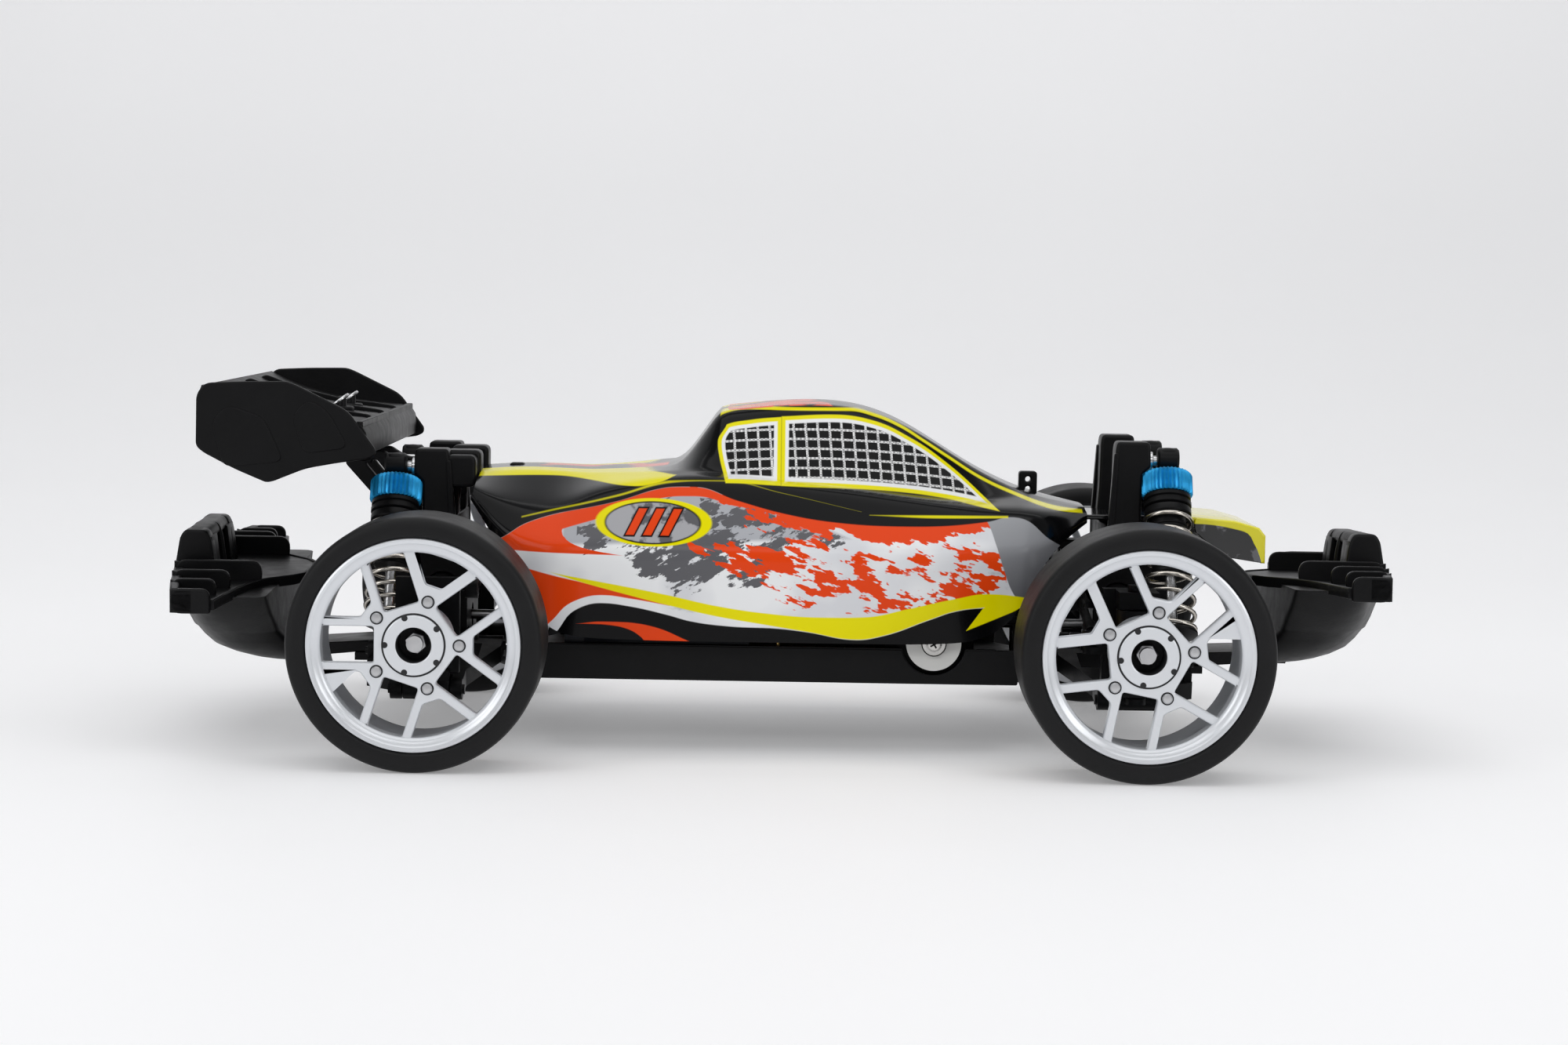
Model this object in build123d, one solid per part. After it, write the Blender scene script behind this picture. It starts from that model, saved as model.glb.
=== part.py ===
from build123d import *
import os
from math import atan2, cos, degrees, pi, radians, sin

# Four-wheel-drive off-road model car, about one sixteenth of full size, standing on its tyres.
# Millimetres. +X is forward, +Y is the car's left, +Z is up. The origin is on the ground under
# the middle of the wheelbase. Every corner is drawn once, at the front left, and mirrored.

# Driving dimensions
WHEELBASE = 177.0
TRACK = 150.0  # between the middles of the tyres
TYRE_R = 31.0
TYRE_W = 26.0
RIM_R = 25.9  # outside of the rim's lip
SEAT_R = 24.9  # where the tyre sits on the rim
BARREL_R = 23.4  # inside of the rim's barrel
LINK = 40.0  # every suspension link, drive shaft and tie rod has this length between pivots
DROP = 6.6  # how much lower a link's outer end stands than its inner end
ARM_Y, ARM_Z = 15.0, 23.0  # inner hinge of a lower arm
KING_Y = 60.5  # steering axis
STEER_R = 11.0  # steering arm
SHOCK_X = 11.5  # shock absorbers stand this far outside the axle line
SHOCK_TOP_Y, SHOCK_TOP_Z = 18.0, 74.5
FLOOR_Z = 18.0  # underside of the chassis
FLOOR_T = 2.0
RAIL_Y = 42.0  # outer face of the chassis rails
RAIL_Z = 27.0
TUB_X = 61.0
SHAFT_Z = 29.5  # centre drive shaft
BUMPER_RISE = 2.4  # the front bumper stands this much higher than the rear one
BUMPER_MID = 44.0  # height of the line each bumper is turned about
FRONT_BUMPER_TILT = -2.2  # degrees; the right side sits higher
REAR_BUMPER_TILT = 2.6  # degrees; the right side sits lower
WALL = 1.2  # thickness of the body shell
CUP_R = 3.2  # bore of the drive cups
BALL_R = 2.85  # ball ends of the drive shafts
HORN_X, HORN_Z, HORN_R = 39.0, 28.5, 7.0  # steering servo's output disc
HORN_ARM = STEER_R * 0.532  # the disc turns twice as far as the wheels
BELL_X = 66.0  # bellcrank
STAND_Z = 33.0  # top of the bellcrank's stand
WING_LOW = 80.2  # where the struts meet the wing
PIN_X, PIN_Y = 116.0, 9.4  # pins that hold the wing

AXLE_X = WHEELBASE / 2
WHEEL_Y = TRACK / 2
RUN = (LINK**2 - DROP**2) ** 0.5  # sideways reach of a link
OUT_Y, OUT_Z = ARM_Y + RUN, ARM_Z - DROP  # outer hinge of a lower arm
DIFF_Y, DIFF_Z = KING_Y - RUN, TYRE_R + DROP  # drive shaft's inner joint
UPPER_Z = 42.0  # outer ball of the upper link
TIE_Z = 33.2  # outer ball of the tie rod
UPPER_Y = 53.4  # outer ball of the upper link
CORNERS = {"front_left": (1, 1), "front_right": (1, -1), "rear_left": (-1, 1), "rear_right": (-1, -1)}
FRONT = ("front_left", "front_right")


# Small helpers -----------------------------------------------------------------------------
def block(x0, x1, y0, y1, z0, z1, r=0.0):
    """A box between two corners, with its edges rounded if r is given."""
    made = Pos((x0 + x1) / 2, (y0 + y1) / 2, (z0 + z1) / 2) * Box(x1 - x0, y1 - y0, z1 - z0)
    return fillet(made.edges(), r) if r else made


def rod(start, end, r):
    """A round bar from one point to another."""
    a, b = Vector(*start), Vector(*end)
    return Plane(origin=(a + b) / 2, z_dir=b - a) * Cylinder(r, (b - a).length)


def ball_stud(start, end, r, ball_r):
    """A round pin with a ball on its end."""
    a, b = Vector(*start), Vector(*end)
    tip = (b - a).normalized()
    return rod(a, b + tip * 0.4, r) + Plane(origin=b, z_dir=b - a) * Sphere(ball_r)


def plate_xz(points, y0, y1):
    """An outline in X and Z, given thickness from y0 to y1."""
    face = Plane.XZ.offset(-y1) * make_face(Polyline(*points, close=True))
    return extrude(face, y1 - y0)


def plate_xy(points, z0, z1):
    """An outline in X and Y, given thickness from z0 to z1."""
    return extrude(Plane.XY.offset(z0) * make_face(Polyline(*points, close=True)), z1 - z0)


def hexagon_y(y0, y1, r):
    """A six-sided bar about the wheel's axis, r from the axis to its flats."""
    bar = extrude(RegularPolygon(r, 6, major_radius=False), y1 - y0)
    return Pos(AXLE_X, y0, TYRE_R) * Rot(-90, 0, 0) * bar


def pair(s, low, high):
    """The Y limits of a piece between low and high on the left, or its mirror image if s is -1."""
    return sorted((s * low, s * high))


def turned(points, y_axis_at):
    """A ring turned about the Y direction through (x, z), from (radius, y) points."""
    x, z = y_axis_at
    face = make_face(Polyline(*[(r, y) for r, y in points], close=True))
    return Pos(x, 0, z) * revolve(face, Axis.Y)


def place(shape, corner):
    """The front-left shape moved to a corner by mirroring."""
    sx, sy = CORNERS[corner]
    if sx < 0:
        shape = mirror(shape, Plane.YZ)
    if sy < 0:
        shape = mirror(shape, Plane.XZ)
    return shape


def save(name, *shapes):
    """Writes one node. Several shapes become separate solids of one group."""
    solids = [s for shape in shapes for s in shape.solids()]
    export_step(Compound(children=solids) if len(solids) > 1 else solids[0], f"parts/{name}.step")


# Wheels ------------------------------------------------------------------------------------
def tyre():
    w, edge = TYRE_W / 2, 3.0
    inner = [(SEAT_R, -w + 1.5), (SEAT_R, w - 1.5), (RIM_R, w - 1.5), (RIM_R + 0.3, w - 0.4)]
    outer = [(TYRE_R - edge, w), (TYRE_R - 0.9, w - 0.9), (TYRE_R, w - edge)]
    back = [(r, -y) for r, y in reversed(inner[2:] + outer)]
    ring = turned([(r, WHEEL_Y + y) for r, y in inner + outer + back], (AXLE_X, TYRE_R))
    return ring


def rim(turn):
    """Five pairs of spokes: ten windows cut through a dished disc, inside a barrel with two lips."""
    w = TYRE_W / 2
    spoke_out, spoke_in, hub_in = WHEEL_Y + 11.0, WHEEL_Y + 7.4, WHEEL_Y - 4.0
    barrel = [(BARREL_R, -w + 0.3), (RIM_R, -w + 0.3), (RIM_R, -w + 1.4), (SEAT_R, -w + 1.5)]
    barrel += [(SEAT_R, w - 1.5), (RIM_R, w - 1.5), (RIM_R, w - 0.6), (24.6, w - 0.4), (22.5, w - 1.6)]
    barrel += [(22.5, w - 5.8), (BARREL_R, w - 7.0)]
    made = turned([(r, WHEEL_Y + y) for r, y in barrel], (AXLE_X, TYRE_R))
    disc_r, large_half, spoke_w, hub_r, small_in = 22.8, 4.4, 2.2, 9.0, 14.3
    axis = Pos(AXLE_X, 0, TYRE_R)
    disc = axis * turned([(0, spoke_in), (disc_r, spoke_in), (disc_r, spoke_out), (0, spoke_out)], (0, 0))
    deep = spoke_out - spoke_in + 2
    mid = (spoke_out + spoke_in) / 2
    for k in range(5):
        large = Pos(hub_r + 10, 0, 0) * Box(20, 2 * large_half, deep)
        edge = large_half + spoke_w  # distance of the small window's sides from the large windows' axes
        half_in = (small_in * sin(radians(36)) - edge) / cos(radians(36))
        tip = 26.0
        half_out = (tip * sin(radians(36)) - edge) / cos(radians(36))
        outline = [(small_in, -half_in), (tip, -half_out), (tip, half_out), (small_in, half_in)]
        small = extrude(make_face(Polyline(*outline, close=True)), deep / 2, both=True)
        limit = Cylinder(BARREL_R - 0.9, deep)
        for angle, cut in ((36 + 72 * k, large), (72 * k, small)):
            turned_cut = Rot(0, 0, angle + turn) * cut & limit
            disc -= axis * Pos(0, mid, 0) * Rot(-90, 0, 0) * turned_cut
    made += disc
    made += turned([(0, hub_in), (8.6, hub_in), (8.6, spoke_in + 1), (0, spoke_in + 1)], (AXLE_X, TYRE_R))
    made -= rod((AXLE_X, WHEEL_Y + 2, TYRE_R), (AXLE_X, spoke_out + 2, TYRE_R), 4.3)
    made -= rod((AXLE_X, hub_in - 2, TYRE_R), (AXLE_X, WHEEL_Y + 3, TYRE_R), 2.1)
    return made - hexagon_y(hub_in, hub_in + 2.0, 6.1)


def wheel_fittings(turn):
    """Stub axle with its drive cup, hexagon, nut, centre ring and five bolt heads: separate solids."""
    spoke_out, hub_in = WHEEL_Y + 11.0, WHEEL_Y - 4.0
    cup = [(0, KING_Y + 3.4), (CUP_R, KING_Y + 3.0), (CUP_R, KING_Y - 2.6), (3.95, KING_Y - 2.6)]
    cup += [(3.95, KING_Y + 4.2), (2.0, KING_Y + 4.2), (2.0, WHEEL_Y + 8.6), (0, WHEEL_Y + 8.6)]
    axle = turned(cup, (AXLE_X, TYRE_R))
    hexagon = hexagon_y(hub_in - 3.6, hub_in + 1.8, 6.0)
    hexagon -= rod((AXLE_X, hub_in - 5, TYRE_R), (AXLE_X, hub_in + 3, TYRE_R), 2.0)
    nut = hexagon_y(WHEEL_Y + 2, WHEEL_Y + 6, 3.4)
    nut -= rod((AXLE_X, WHEEL_Y + 1, TYRE_R), (AXLE_X, WHEEL_Y + 7, TYRE_R), 2.0)
    profile = [(4.3, 0), (7.4, 0), (7.4, 0.6), (4.9, 0.9), (4.3, 0.6)]
    ring = turned([(r, spoke_out + y) for r, y in profile], (AXLE_X, TYRE_R))
    made = [axle, hexagon, nut, ring]
    for k in range(5):
        a = radians(72 * k + turn)
        x, z = AXLE_X + 11 * cos(a), TYRE_R - 11 * sin(a)
        made.append(rod((x, spoke_out, z), (x, spoke_out + 0.8, z), 1.6))
    return made


# Suspension --------------------------------------------------------------------------------
ARM_TILT = degrees(atan2(DROP, RUN))


def along_arm(y, z):
    """A point given along and above the arm's own line, in the car's Y and Z."""
    a = radians(ARM_TILT)
    return ARM_Y + y * cos(a) + z * sin(a), ARM_Z - y * sin(a) + z * cos(a)


SHOCK_Y, SHOCK_Z = along_arm(27.0, 6.0)  # lower pin of a shock absorber


def lower_arm():
    """Flat arm with a long inner tube, two ears outside, two windows and a clevis for the shock."""
    half_in, half_out, thick = 16.0, 9.0, 4.4
    shock_u = SHOCK_X + 4.6
    outline = [(-half_in, 0), (half_in, 0), (half_in, 8), (shock_u, 22), (shock_u, 31), (half_out, 35)]
    outline += [(half_out, LINK), (-half_out, LINK), (-half_out, 30), (-half_in, 8)]
    arm = plate_xy(outline, -thick / 2, thick / 2)
    arm += rod((-half_in, 0, 0), (half_in, 0, 0), 2.6) + rod((-half_out, LINK, 0), (half_out, LINK, 0), 2.6)
    for u0, u1 in ((-11.0, -2.5), (1.5, 10.0)):
        arm -= block(u0, u1, 6, 19, -thick, thick)
    arm -= block(-6.1, 6.1, LINK - 5.4, LINK + 4, -thick, thick)  # room for the hub between the ears
    arm -= block(-9.6, 9.6, -4, 3.3, -thick, thick)  # room for the gearbox's lug
    for u in (SHOCK_X - 3.5, SHOCK_X + 3.5):
        arm += block(u - 1.0, u + 1.0, 23.6, 30.4, 0, 5) + rod((u - 1.0, 27, 6), (u + 1.0, 27, 6), 2.6)
    arm -= rod((-half_in - 1, 0, 0), (half_in + 1, 0, 0), 1.3)
    arm -= rod((-half_out - 1, LINK, 0), (half_out + 1, LINK, 0), 1.25)
    arm -= rod((SHOCK_X - 6, 27, 6), (SHOCK_X + 6, 27, 6), 1.0)
    outer_pin = rod((-half_out - 0.6, LINK, 0), (half_out + 0.6, LINK, 0), 1.25)
    shock_pin = rod((SHOCK_X - 5.2, 27, 6), (SHOCK_X + 5.2, 27, 6), 1.0)
    lift = Pos(AXLE_X, ARM_Y, ARM_Z) * Rot(-ARM_TILT, 0, 0)
    return [lift * shape for shape in (arm, outer_pin, shock_pin)]


UPRIGHT_LOW = OUT_Z + 4.0


def upright(steered):
    """The block on the arm's outer end. The steered one is a C that holds a knuckle; the rear one is
    closed and carries the axle itself."""
    web_in, web_out = 51.0, 54.5
    x0, x1, top, low = AXLE_X - 8, AXLE_X + 8, UPPER_Z + 2.4, UPRIGHT_LOW
    made = block(x0, x1, web_in, web_out, low, top)
    made += block(AXLE_X - 5.8, AXLE_X + 5.8, web_in, web_out + 1.4, OUT_Z - 2.4, low + 1)
    made += rod((AXLE_X - 5.8, OUT_Y, OUT_Z), (AXLE_X + 5.8, OUT_Y, OUT_Z), 2.6)
    made -= rod((AXLE_X - 9, OUT_Y, OUT_Z), (AXLE_X + 9, OUT_Y, OUT_Z), 1.33)
    stud = ball_stud((x0 + 3, UPPER_Y, UPPER_Z), (x0 - 3, UPPER_Y, UPPER_Z), 0.9, 1.6)
    socket = rod((x0 - 1, UPPER_Y, UPPER_Z), (x0 + 3, UPPER_Y, UPPER_Z), 0.9)
    if not steered:
        made += rod((AXLE_X, web_out - 0.5, TYRE_R), (AXLE_X, KING_Y + 4.5, TYRE_R), 6.4)
        made -= rod((AXLE_X, web_in - 1, TYRE_R), (AXLE_X, KING_Y + 4.5, TYRE_R), 4.3)
        bearing = rod((AXLE_X, KING_Y + 4.5, TYRE_R), (AXLE_X, KING_Y + 6.4, TYRE_R), 5.0)
        bearing -= rod((AXLE_X, KING_Y + 4, TYRE_R), (AXLE_X, KING_Y + 7, TYRE_R), 2.06)
        return [made - socket, stud, bearing]
    made += block(AXLE_X - 5, AXLE_X + 5, web_out - 0.5, KING_Y + 3.5, 40.2, top)
    made += block(AXLE_X - 5, AXLE_X + 5, web_out - 0.5, KING_Y + 3.5, low - 2.2, low + 2.2)
    made -= rod((AXLE_X, web_in - 1, TYRE_R), (AXLE_X, web_out + 0.2, TYRE_R), 6.4)
    made -= rod((AXLE_X, KING_Y, 0), (AXLE_X, KING_Y, 60), 1.5)
    screws = []
    for z0, z1, head in ((low - 4.2, low + 3.8, low - 4.2), (38.0, top + 1.6, top)):
        screw = rod((AXLE_X, KING_Y, z0), (AXLE_X, KING_Y, z1), 1.45)
        screws.append(screw + rod((AXLE_X, KING_Y, head), (AXLE_X, KING_Y, head + 1.6), 2.6))
    return [made - socket, stud, *screws]


def knuckle():
    """Post that turns on the king pins, with the axle's tube and the steering arm."""
    low, high = UPRIGHT_LOW + 2.5, 39.9
    made = rod((AXLE_X, KING_Y, low), (AXLE_X, KING_Y, high), 5.4)
    made += rod((AXLE_X, KING_Y - 1.0, TYRE_R), (AXLE_X, KING_Y + 4.5, TYRE_R), 6.2)
    made += block(AXLE_X - STEER_R, AXLE_X - 3, KING_Y - 2.4, KING_Y + 2.4, TIE_Z - 4.4, TIE_Z - 2.6)
    made += rod((AXLE_X - STEER_R, KING_Y, TIE_Z - 4.4), (AXLE_X - STEER_R, KING_Y, TIE_Z - 2.6), 2.4)
    made -= rod((AXLE_X, KING_Y - 8, TYRE_R), (AXLE_X, KING_Y + 4.5, TYRE_R), 4.3)
    made -= rod((AXLE_X, KING_Y + 4.5, TYRE_R), (AXLE_X, KING_Y + 8, TYRE_R), 5.0)
    for z0, z1 in ((low - 1, low + 2.2), (high - 2.4, high + 1)):
        made -= rod((AXLE_X, KING_Y, z0), (AXLE_X, KING_Y, z1), 1.52)
    bearing = rod((AXLE_X, KING_Y + 4.5, TYRE_R), (AXLE_X, KING_Y + 6.4, TYRE_R), 5.0)
    bearing -= rod((AXLE_X, KING_Y + 4, TYRE_R), (AXLE_X, KING_Y + 7, TYRE_R), 2.06)
    stud = ball_stud((AXLE_X - STEER_R, KING_Y, TIE_Z - 2.6), (AXLE_X - STEER_R, KING_Y, TIE_Z), 0.8, 1.5)
    return [made, bearing, stud]


def ball_link(start, end, hole_axis, end_r=2.7, end_t=3.2, shank=1.2, socket=1.7):
    """A link with an eye at each end, bored a little larger than the balls it turns on."""
    a, b = Vector(*start), Vector(*end)
    step = (b - a).normalized()
    made = rod(a + step * 1.5, b - step * 1.5, shank)
    made += rod(a + step * 1.9, a + step * 9, 1.8) + rod(b - step * 1.9, b - step * 9, 1.8)
    axis = Vector(*hole_axis)
    for p in (a, b):
        made += rod(p - axis * end_t / 2, p + axis * end_t / 2, end_r)
    for p in (a, b):
        made -= rod(p - axis * (end_t / 2 + 1), p + axis * (end_t / 2 + 1), socket)
    return made


def upper_link():
    x, y = AXLE_X - STEER_R, UPPER_Y
    return ball_link((x, y - RUN, UPPER_Z + DROP), (x, y, UPPER_Z), (1, 0, 0))


def tie_rod():
    x = AXLE_X - STEER_R
    return ball_link((x, DIFF_Y, TIE_Z + DROP), (x, KING_Y, TIE_Z), (0, 0, 1), end_t=2.6, socket=1.6)


def drive_shaft():
    inner, outer = (AXLE_X, DIFF_Y, DIFF_Z), (AXLE_X, KING_Y, TYRE_R)
    middle = tuple((Vector(*inner) + Vector(*outer)) / 2)
    return ball_stud(middle, inner, 1.3, BALL_R) + ball_stud(middle, outer, 1.3, BALL_R)


# Shock absorbers ---------------------------------------------------------------------------
SHOCK_TOP = Vector(AXLE_X + SHOCK_X, SHOCK_TOP_Y, SHOCK_TOP_Z)
SHOCK_LOW = Vector(AXLE_X + SHOCK_X, SHOCK_Y, SHOCK_Z)
SHOCK_LENGTH = (SHOCK_TOP - SHOCK_LOW).length
SHOCK_AXIS = Plane(origin=SHOCK_TOP, x_dir=(1, 0, 0), z_dir=SHOCK_LOW - SHOCK_TOP)
COLLAR_AT, CUP_AT = 15.5, SHOCK_LENGTH - 8.4  # spring seats, measured down from the top pin


def turned_down(points):
    """A ring about the shock's axis, from (radius, distance below the top pin) points."""
    face = Plane.XZ * make_face(Polyline(*points, close=True))
    return SHOCK_AXIS * revolve(face, Axis.Z)


def shock_body():
    cap = turned_down([(0, 3.4), (5.4, 3.4), (6.2, 4.2), (6.2, 9.8), (0, 9.8)])
    eye = SHOCK_AXIS * (Rot(0, 90, 0) * Cylinder(2.9, 4) + Pos(0, 0, 1.8) * Box(4, 4, 3.6))
    eye -= SHOCK_AXIS * Rot(0, 90, 0) * Cylinder(1.25, 6)
    bored = [(4.8, 33), (1.6, 33), (1.6, 13), (0, 13)]
    cylinder = turned_down([(0, 9.8), (5.5, 9.8), (5.5, 12.2), (4.8, 12.2)] + bored)
    collar = [(4.8, -2.4), (6.0, -2.4), (6.6, -1.2), (6.6, 0), (4.8, 0)]
    collar = turned_down([(r, COLLAR_AT + down) for r, down in collar])
    return [cap, eye, cylinder, collar]


def shock_rod():
    rod_part = turned_down([(0, 20), (1.5, 20), (1.5, SHOCK_LENGTH - 5), (0, SHOCK_LENGTH - 5)])
    cup = [(1.5, 0), (6.6, 0), (6.6, 1.2), (3.2, 2.6), (1.5, 2.6)]
    cup = turned_down([(r, CUP_AT + down) for r, down in cup])
    eye = Rot(0, 90, 0) * Cylinder(2.6, 4) + Pos(0, 0, -2.4) * Box(3.8, 3.8, 4.8)
    eye = SHOCK_AXIS * Pos(0, 0, SHOCK_LENGTH) * eye
    eye -= SHOCK_AXIS * Pos(0, 0, SHOCK_LENGTH) * Rot(0, 90, 0) * Cylinder(1.55, 6)
    eye -= rod_part
    return [rod_part, cup, eye]


def shock_spring():
    wire, turns = 0.55, 7
    height = CUP_AT - COLLAR_AT - 2 * wire - 0.2
    coil = Helix(pitch=height / turns, height=height, radius=6.0)
    section = Plane(origin=coil @ 0, z_dir=coil % 0) * Circle(wire)
    return SHOCK_AXIS * Pos(0, 0, COLLAR_AT + wire + 0.1) * sweep(section, path=coil, is_frenet=True)


# Chassis and what is fixed to it -----------------------------------------------------------
def chassis_tub():
    """Floor with raised rails, a notch for the servo's disc and the bellcrank's stand."""
    front = [(TUB_X - 6, -RAIL_Y), (TUB_X, -36), (74, -11), (112, -11)]
    rear = [(-112, -11), (-74, -11), (-TUB_X, -RAIL_Y)]
    half = rear + front
    outline = half + [(x, -y) for x, y in reversed(half)]
    tub = plate_xy(outline, FLOOR_Z, FLOOR_Z + FLOOR_T)
    for s in (1, -1):
        tub += block(-TUB_X, TUB_X - 6, *pair(s, RAIL_Y - 2, RAIL_Y), FLOOR_Z, RAIL_Z)
    notch = rod((HORN_X, -RAIL_Y - 3, HORN_Z), (HORN_X, -RAIL_Y + 4, HORN_Z), HORN_R + 1.2)
    tub -= notch & block(-TUB_X, TUB_X, -RAIL_Y - 3, -RAIL_Y + 4, FLOOR_Z + FLOOR_T, 60)
    tub -= block(-5.5, 1.5, -6, 6, FLOOR_Z - 1, FLOOR_Z + FLOOR_T + 1)
    stand = block(BELL_X - 4, BELL_X + 4, -5.5, 5.5, FLOOR_Z + FLOOR_T - 0.5, STAND_Z)
    stand -= block(BELL_X - 5, BELL_X + 5, -3, 3, FLOOR_Z + FLOOR_T, STAND_Z - 1.7)
    return tub + stand + rod((BELL_X, 0, STAND_Z - 1), (BELL_X, 0, STAND_Z + 2.2), 2.5)


def gearbox():
    """Differential housing with hinge lugs, hinge pins, drive cups and the upper links' ball studs."""
    x0, x1, half = 82.0, 106.0, 16.4
    housing = block(x0, x1, -half, half, 27.6, 50) + block(x0, x1, -11, 11, FLOOR_Z + FLOOR_T, 28)
    housing -= rod((x0 - 1, 0, SHAFT_Z), (x0 + 5, 0, SHAFT_Z), 3.2)
    housing -= rod((AXLE_X, -half - 1, DIFF_Z), (AXLE_X, half + 1, DIFF_Z), 4.8)
    solids = []
    for s in (1, -1):
        y0, y1 = pair(s, 10.5, ARM_Y)
        housing += block(AXLE_X - 9.2, AXLE_X + 9.2, y0, y1, ARM_Z - 2.6, ARM_Z + 2.6)
        housing += rod((AXLE_X - 9.2, s * ARM_Y, ARM_Z), (AXLE_X + 9.2, s * ARM_Y, ARM_Z), 2.6)
        housing -= rod((AXLE_X - 20, s * ARM_Y, ARM_Z), (AXLE_X + 20, s * ARM_Y, ARM_Z), 1.25)
        solids.append(rod((AXLE_X - 16.6, s * ARM_Y, ARM_Z), (AXLE_X + 16.6, s * ARM_Y, ARM_Z), 1.25))
        bore = [(CUP_R, DIFF_Y + 2.6), (CUP_R, DIFF_Y - 3.0), (0, DIFF_Y - 3.4)]
        cup = turned([(0, 9), (4.4, 9), (4.4, DIFF_Y + 2.6)] + bore, (AXLE_X, DIFF_Z))
        solids.append(cup if s > 0 else mirror(cup, Plane.XZ))
        y = s * (UPPER_Y - RUN)
        housing -= rod((x0 - 1, y, UPPER_Z + DROP), (x0 + 3, y, UPPER_Z + DROP), 0.9)
        solids.append(ball_stud((x0 + 3, y, UPPER_Z + DROP), (AXLE_X - STEER_R, y, UPPER_Z + DROP), 0.9, 1.6))
    return [housing, *solids]


def shock_tower(post_x, post_r):
    """Bridge on the gearbox with two tall arms, the shocks' studs and a post for the body."""
    x0, x1, top = AXLE_X - 3.5, AXLE_X + 4.5, SHOCK_TOP_Z + 5
    tower = block(x0, x1, -22.5, 22.5, 50, 57)
    studs = []
    for s in (1, -1):
        y0, y1 = pair(s, 14, 22.5)
        tower += block(x0, x1, y0, y1, 50.5, top, 1.6)
        y = s * SHOCK_TOP_Y
        stud = rod((x1 - 3, y, SHOCK_TOP_Z), (AXLE_X + SHOCK_X + 2.8, y, SHOCK_TOP_Z), 1.18)
        tower -= stud
        studs.append(stud)
    tower += block(post_x - 4, x0 + 1, -4.5, 4.5, 50, 52.4)
    tower += rod((post_x, 0, 51), (post_x, 0, 70.2), post_r)
    return tower, studs


def front_tower():
    tower, studs = shock_tower(65.5, 2.4)
    for z in (65.6, 68.2):
        tower -= rod((65.5, -4, z), (65.5, 4, z), 0.7)
    return [tower, *studs]


def rear_tower():
    """As the front one, with two blocks toward the cabin and two slotted struts that carry the wing."""
    tower, studs = shock_tower(70.4, 2.0)
    strut = [(84.6, 61.0), (106.5, 60.7), (115.3, 70.4), (105.6, 73.9), (100.7, 70.9), (84.6, 70.6)]
    slot = [(101.5, 64.6), (104.6, 64.2), (109.6, 70.2), (106.8, 71.2)]
    foot = [(107.5, 70.0), (115.3, 70.4), (121, WING_LOW + 1.8), (109.5, WING_LOW)]
    for s in (1, -1):
        y0, y1 = pair(s, 14.4, 22.1)
        tower += block(80.2, AXLE_X - 3, y0, y1, 63.5, 72.5, 1.2)
        y0, y1 = pair(s, 8.0, 15.0)
        tower += block(85.5, AXLE_X + 3, y0, y1, 62, 70)
        y0, y1 = pair(s, PIN_Y - 1.4, PIN_Y + 1.4)
        tower += plate_xz(strut, y0, y1) - plate_xz(slot, y0 - 1, y1 + 1) + plate_xz(foot, y0, y1)
    return [tower, *studs]



def rear_wing():
    """Curved plane between two endplates, drawn toward +X and mirrored to the rear."""
    top = [(103.4, 78.0), (105.0, 82.3), (112.0, 83.4), (122.0, 84.6), (134.0, 87.4), (144.6, 91.6)]
    under = [(144.6, 90.2), (134.0, 85.8), (122.0, 82.4), (112.0, 80.6), (107.0, 80.2)]
    under += [(105.2, 74.8), (103.6, 74.8)]
    wing = plate_xz(top + under, -57, 57)
    plate = [(145.8, 89.4), (143.6, 92.2), (123.4, 92.9), (120.8, 91.9), (108.2, 85.8), (101.3, 76.3)]
    plate += [(101.5, 74.8), (103.2, 73.9), (110.3, 72.9), (118.7, 71.3), (126.7, 68.0), (128.4, 67.7)]
    plate += [(136.4, 71.0), (144.0, 74.9), (145.9, 76.5)]
    for y0 in (-58.0, 56.6):
        wing += plate_xz(plate, y0, y0 + 1.4)
    rib = [(104.4, 81), (120, 83.2), (143.6, 90.6), (132, 88.6), (112, 86.4)]
    for y in (-28, 0, 28):
        wing += plate_xz(rib, y - 0.6, y + 0.6)
    for y in (-PIN_Y, PIN_Y):
        wing -= rod((PIN_X, y, 70), (PIN_X, y, 95), 1.3)
    return wing


def wing_clips():
    """Two pins that stand on the struts, each with a split ring through it."""
    made = []
    for s in (1, -1):
        pin = rod((PIN_X, s * PIN_Y, WING_LOW + 1.2), (PIN_X, s * PIN_Y, 90.2), 1.2)
        pin -= rod((PIN_X - 3, s * PIN_Y, 88.2), (PIN_X + 3, s * PIN_Y, 88.2), 0.5)
        ring = Pos(PIN_X, s * (PIN_Y - 3.2), 88.2) * Rot(0, 90, 0) * Torus(3.2, 0.42)
        made += [pin, ring]
    return made


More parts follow.
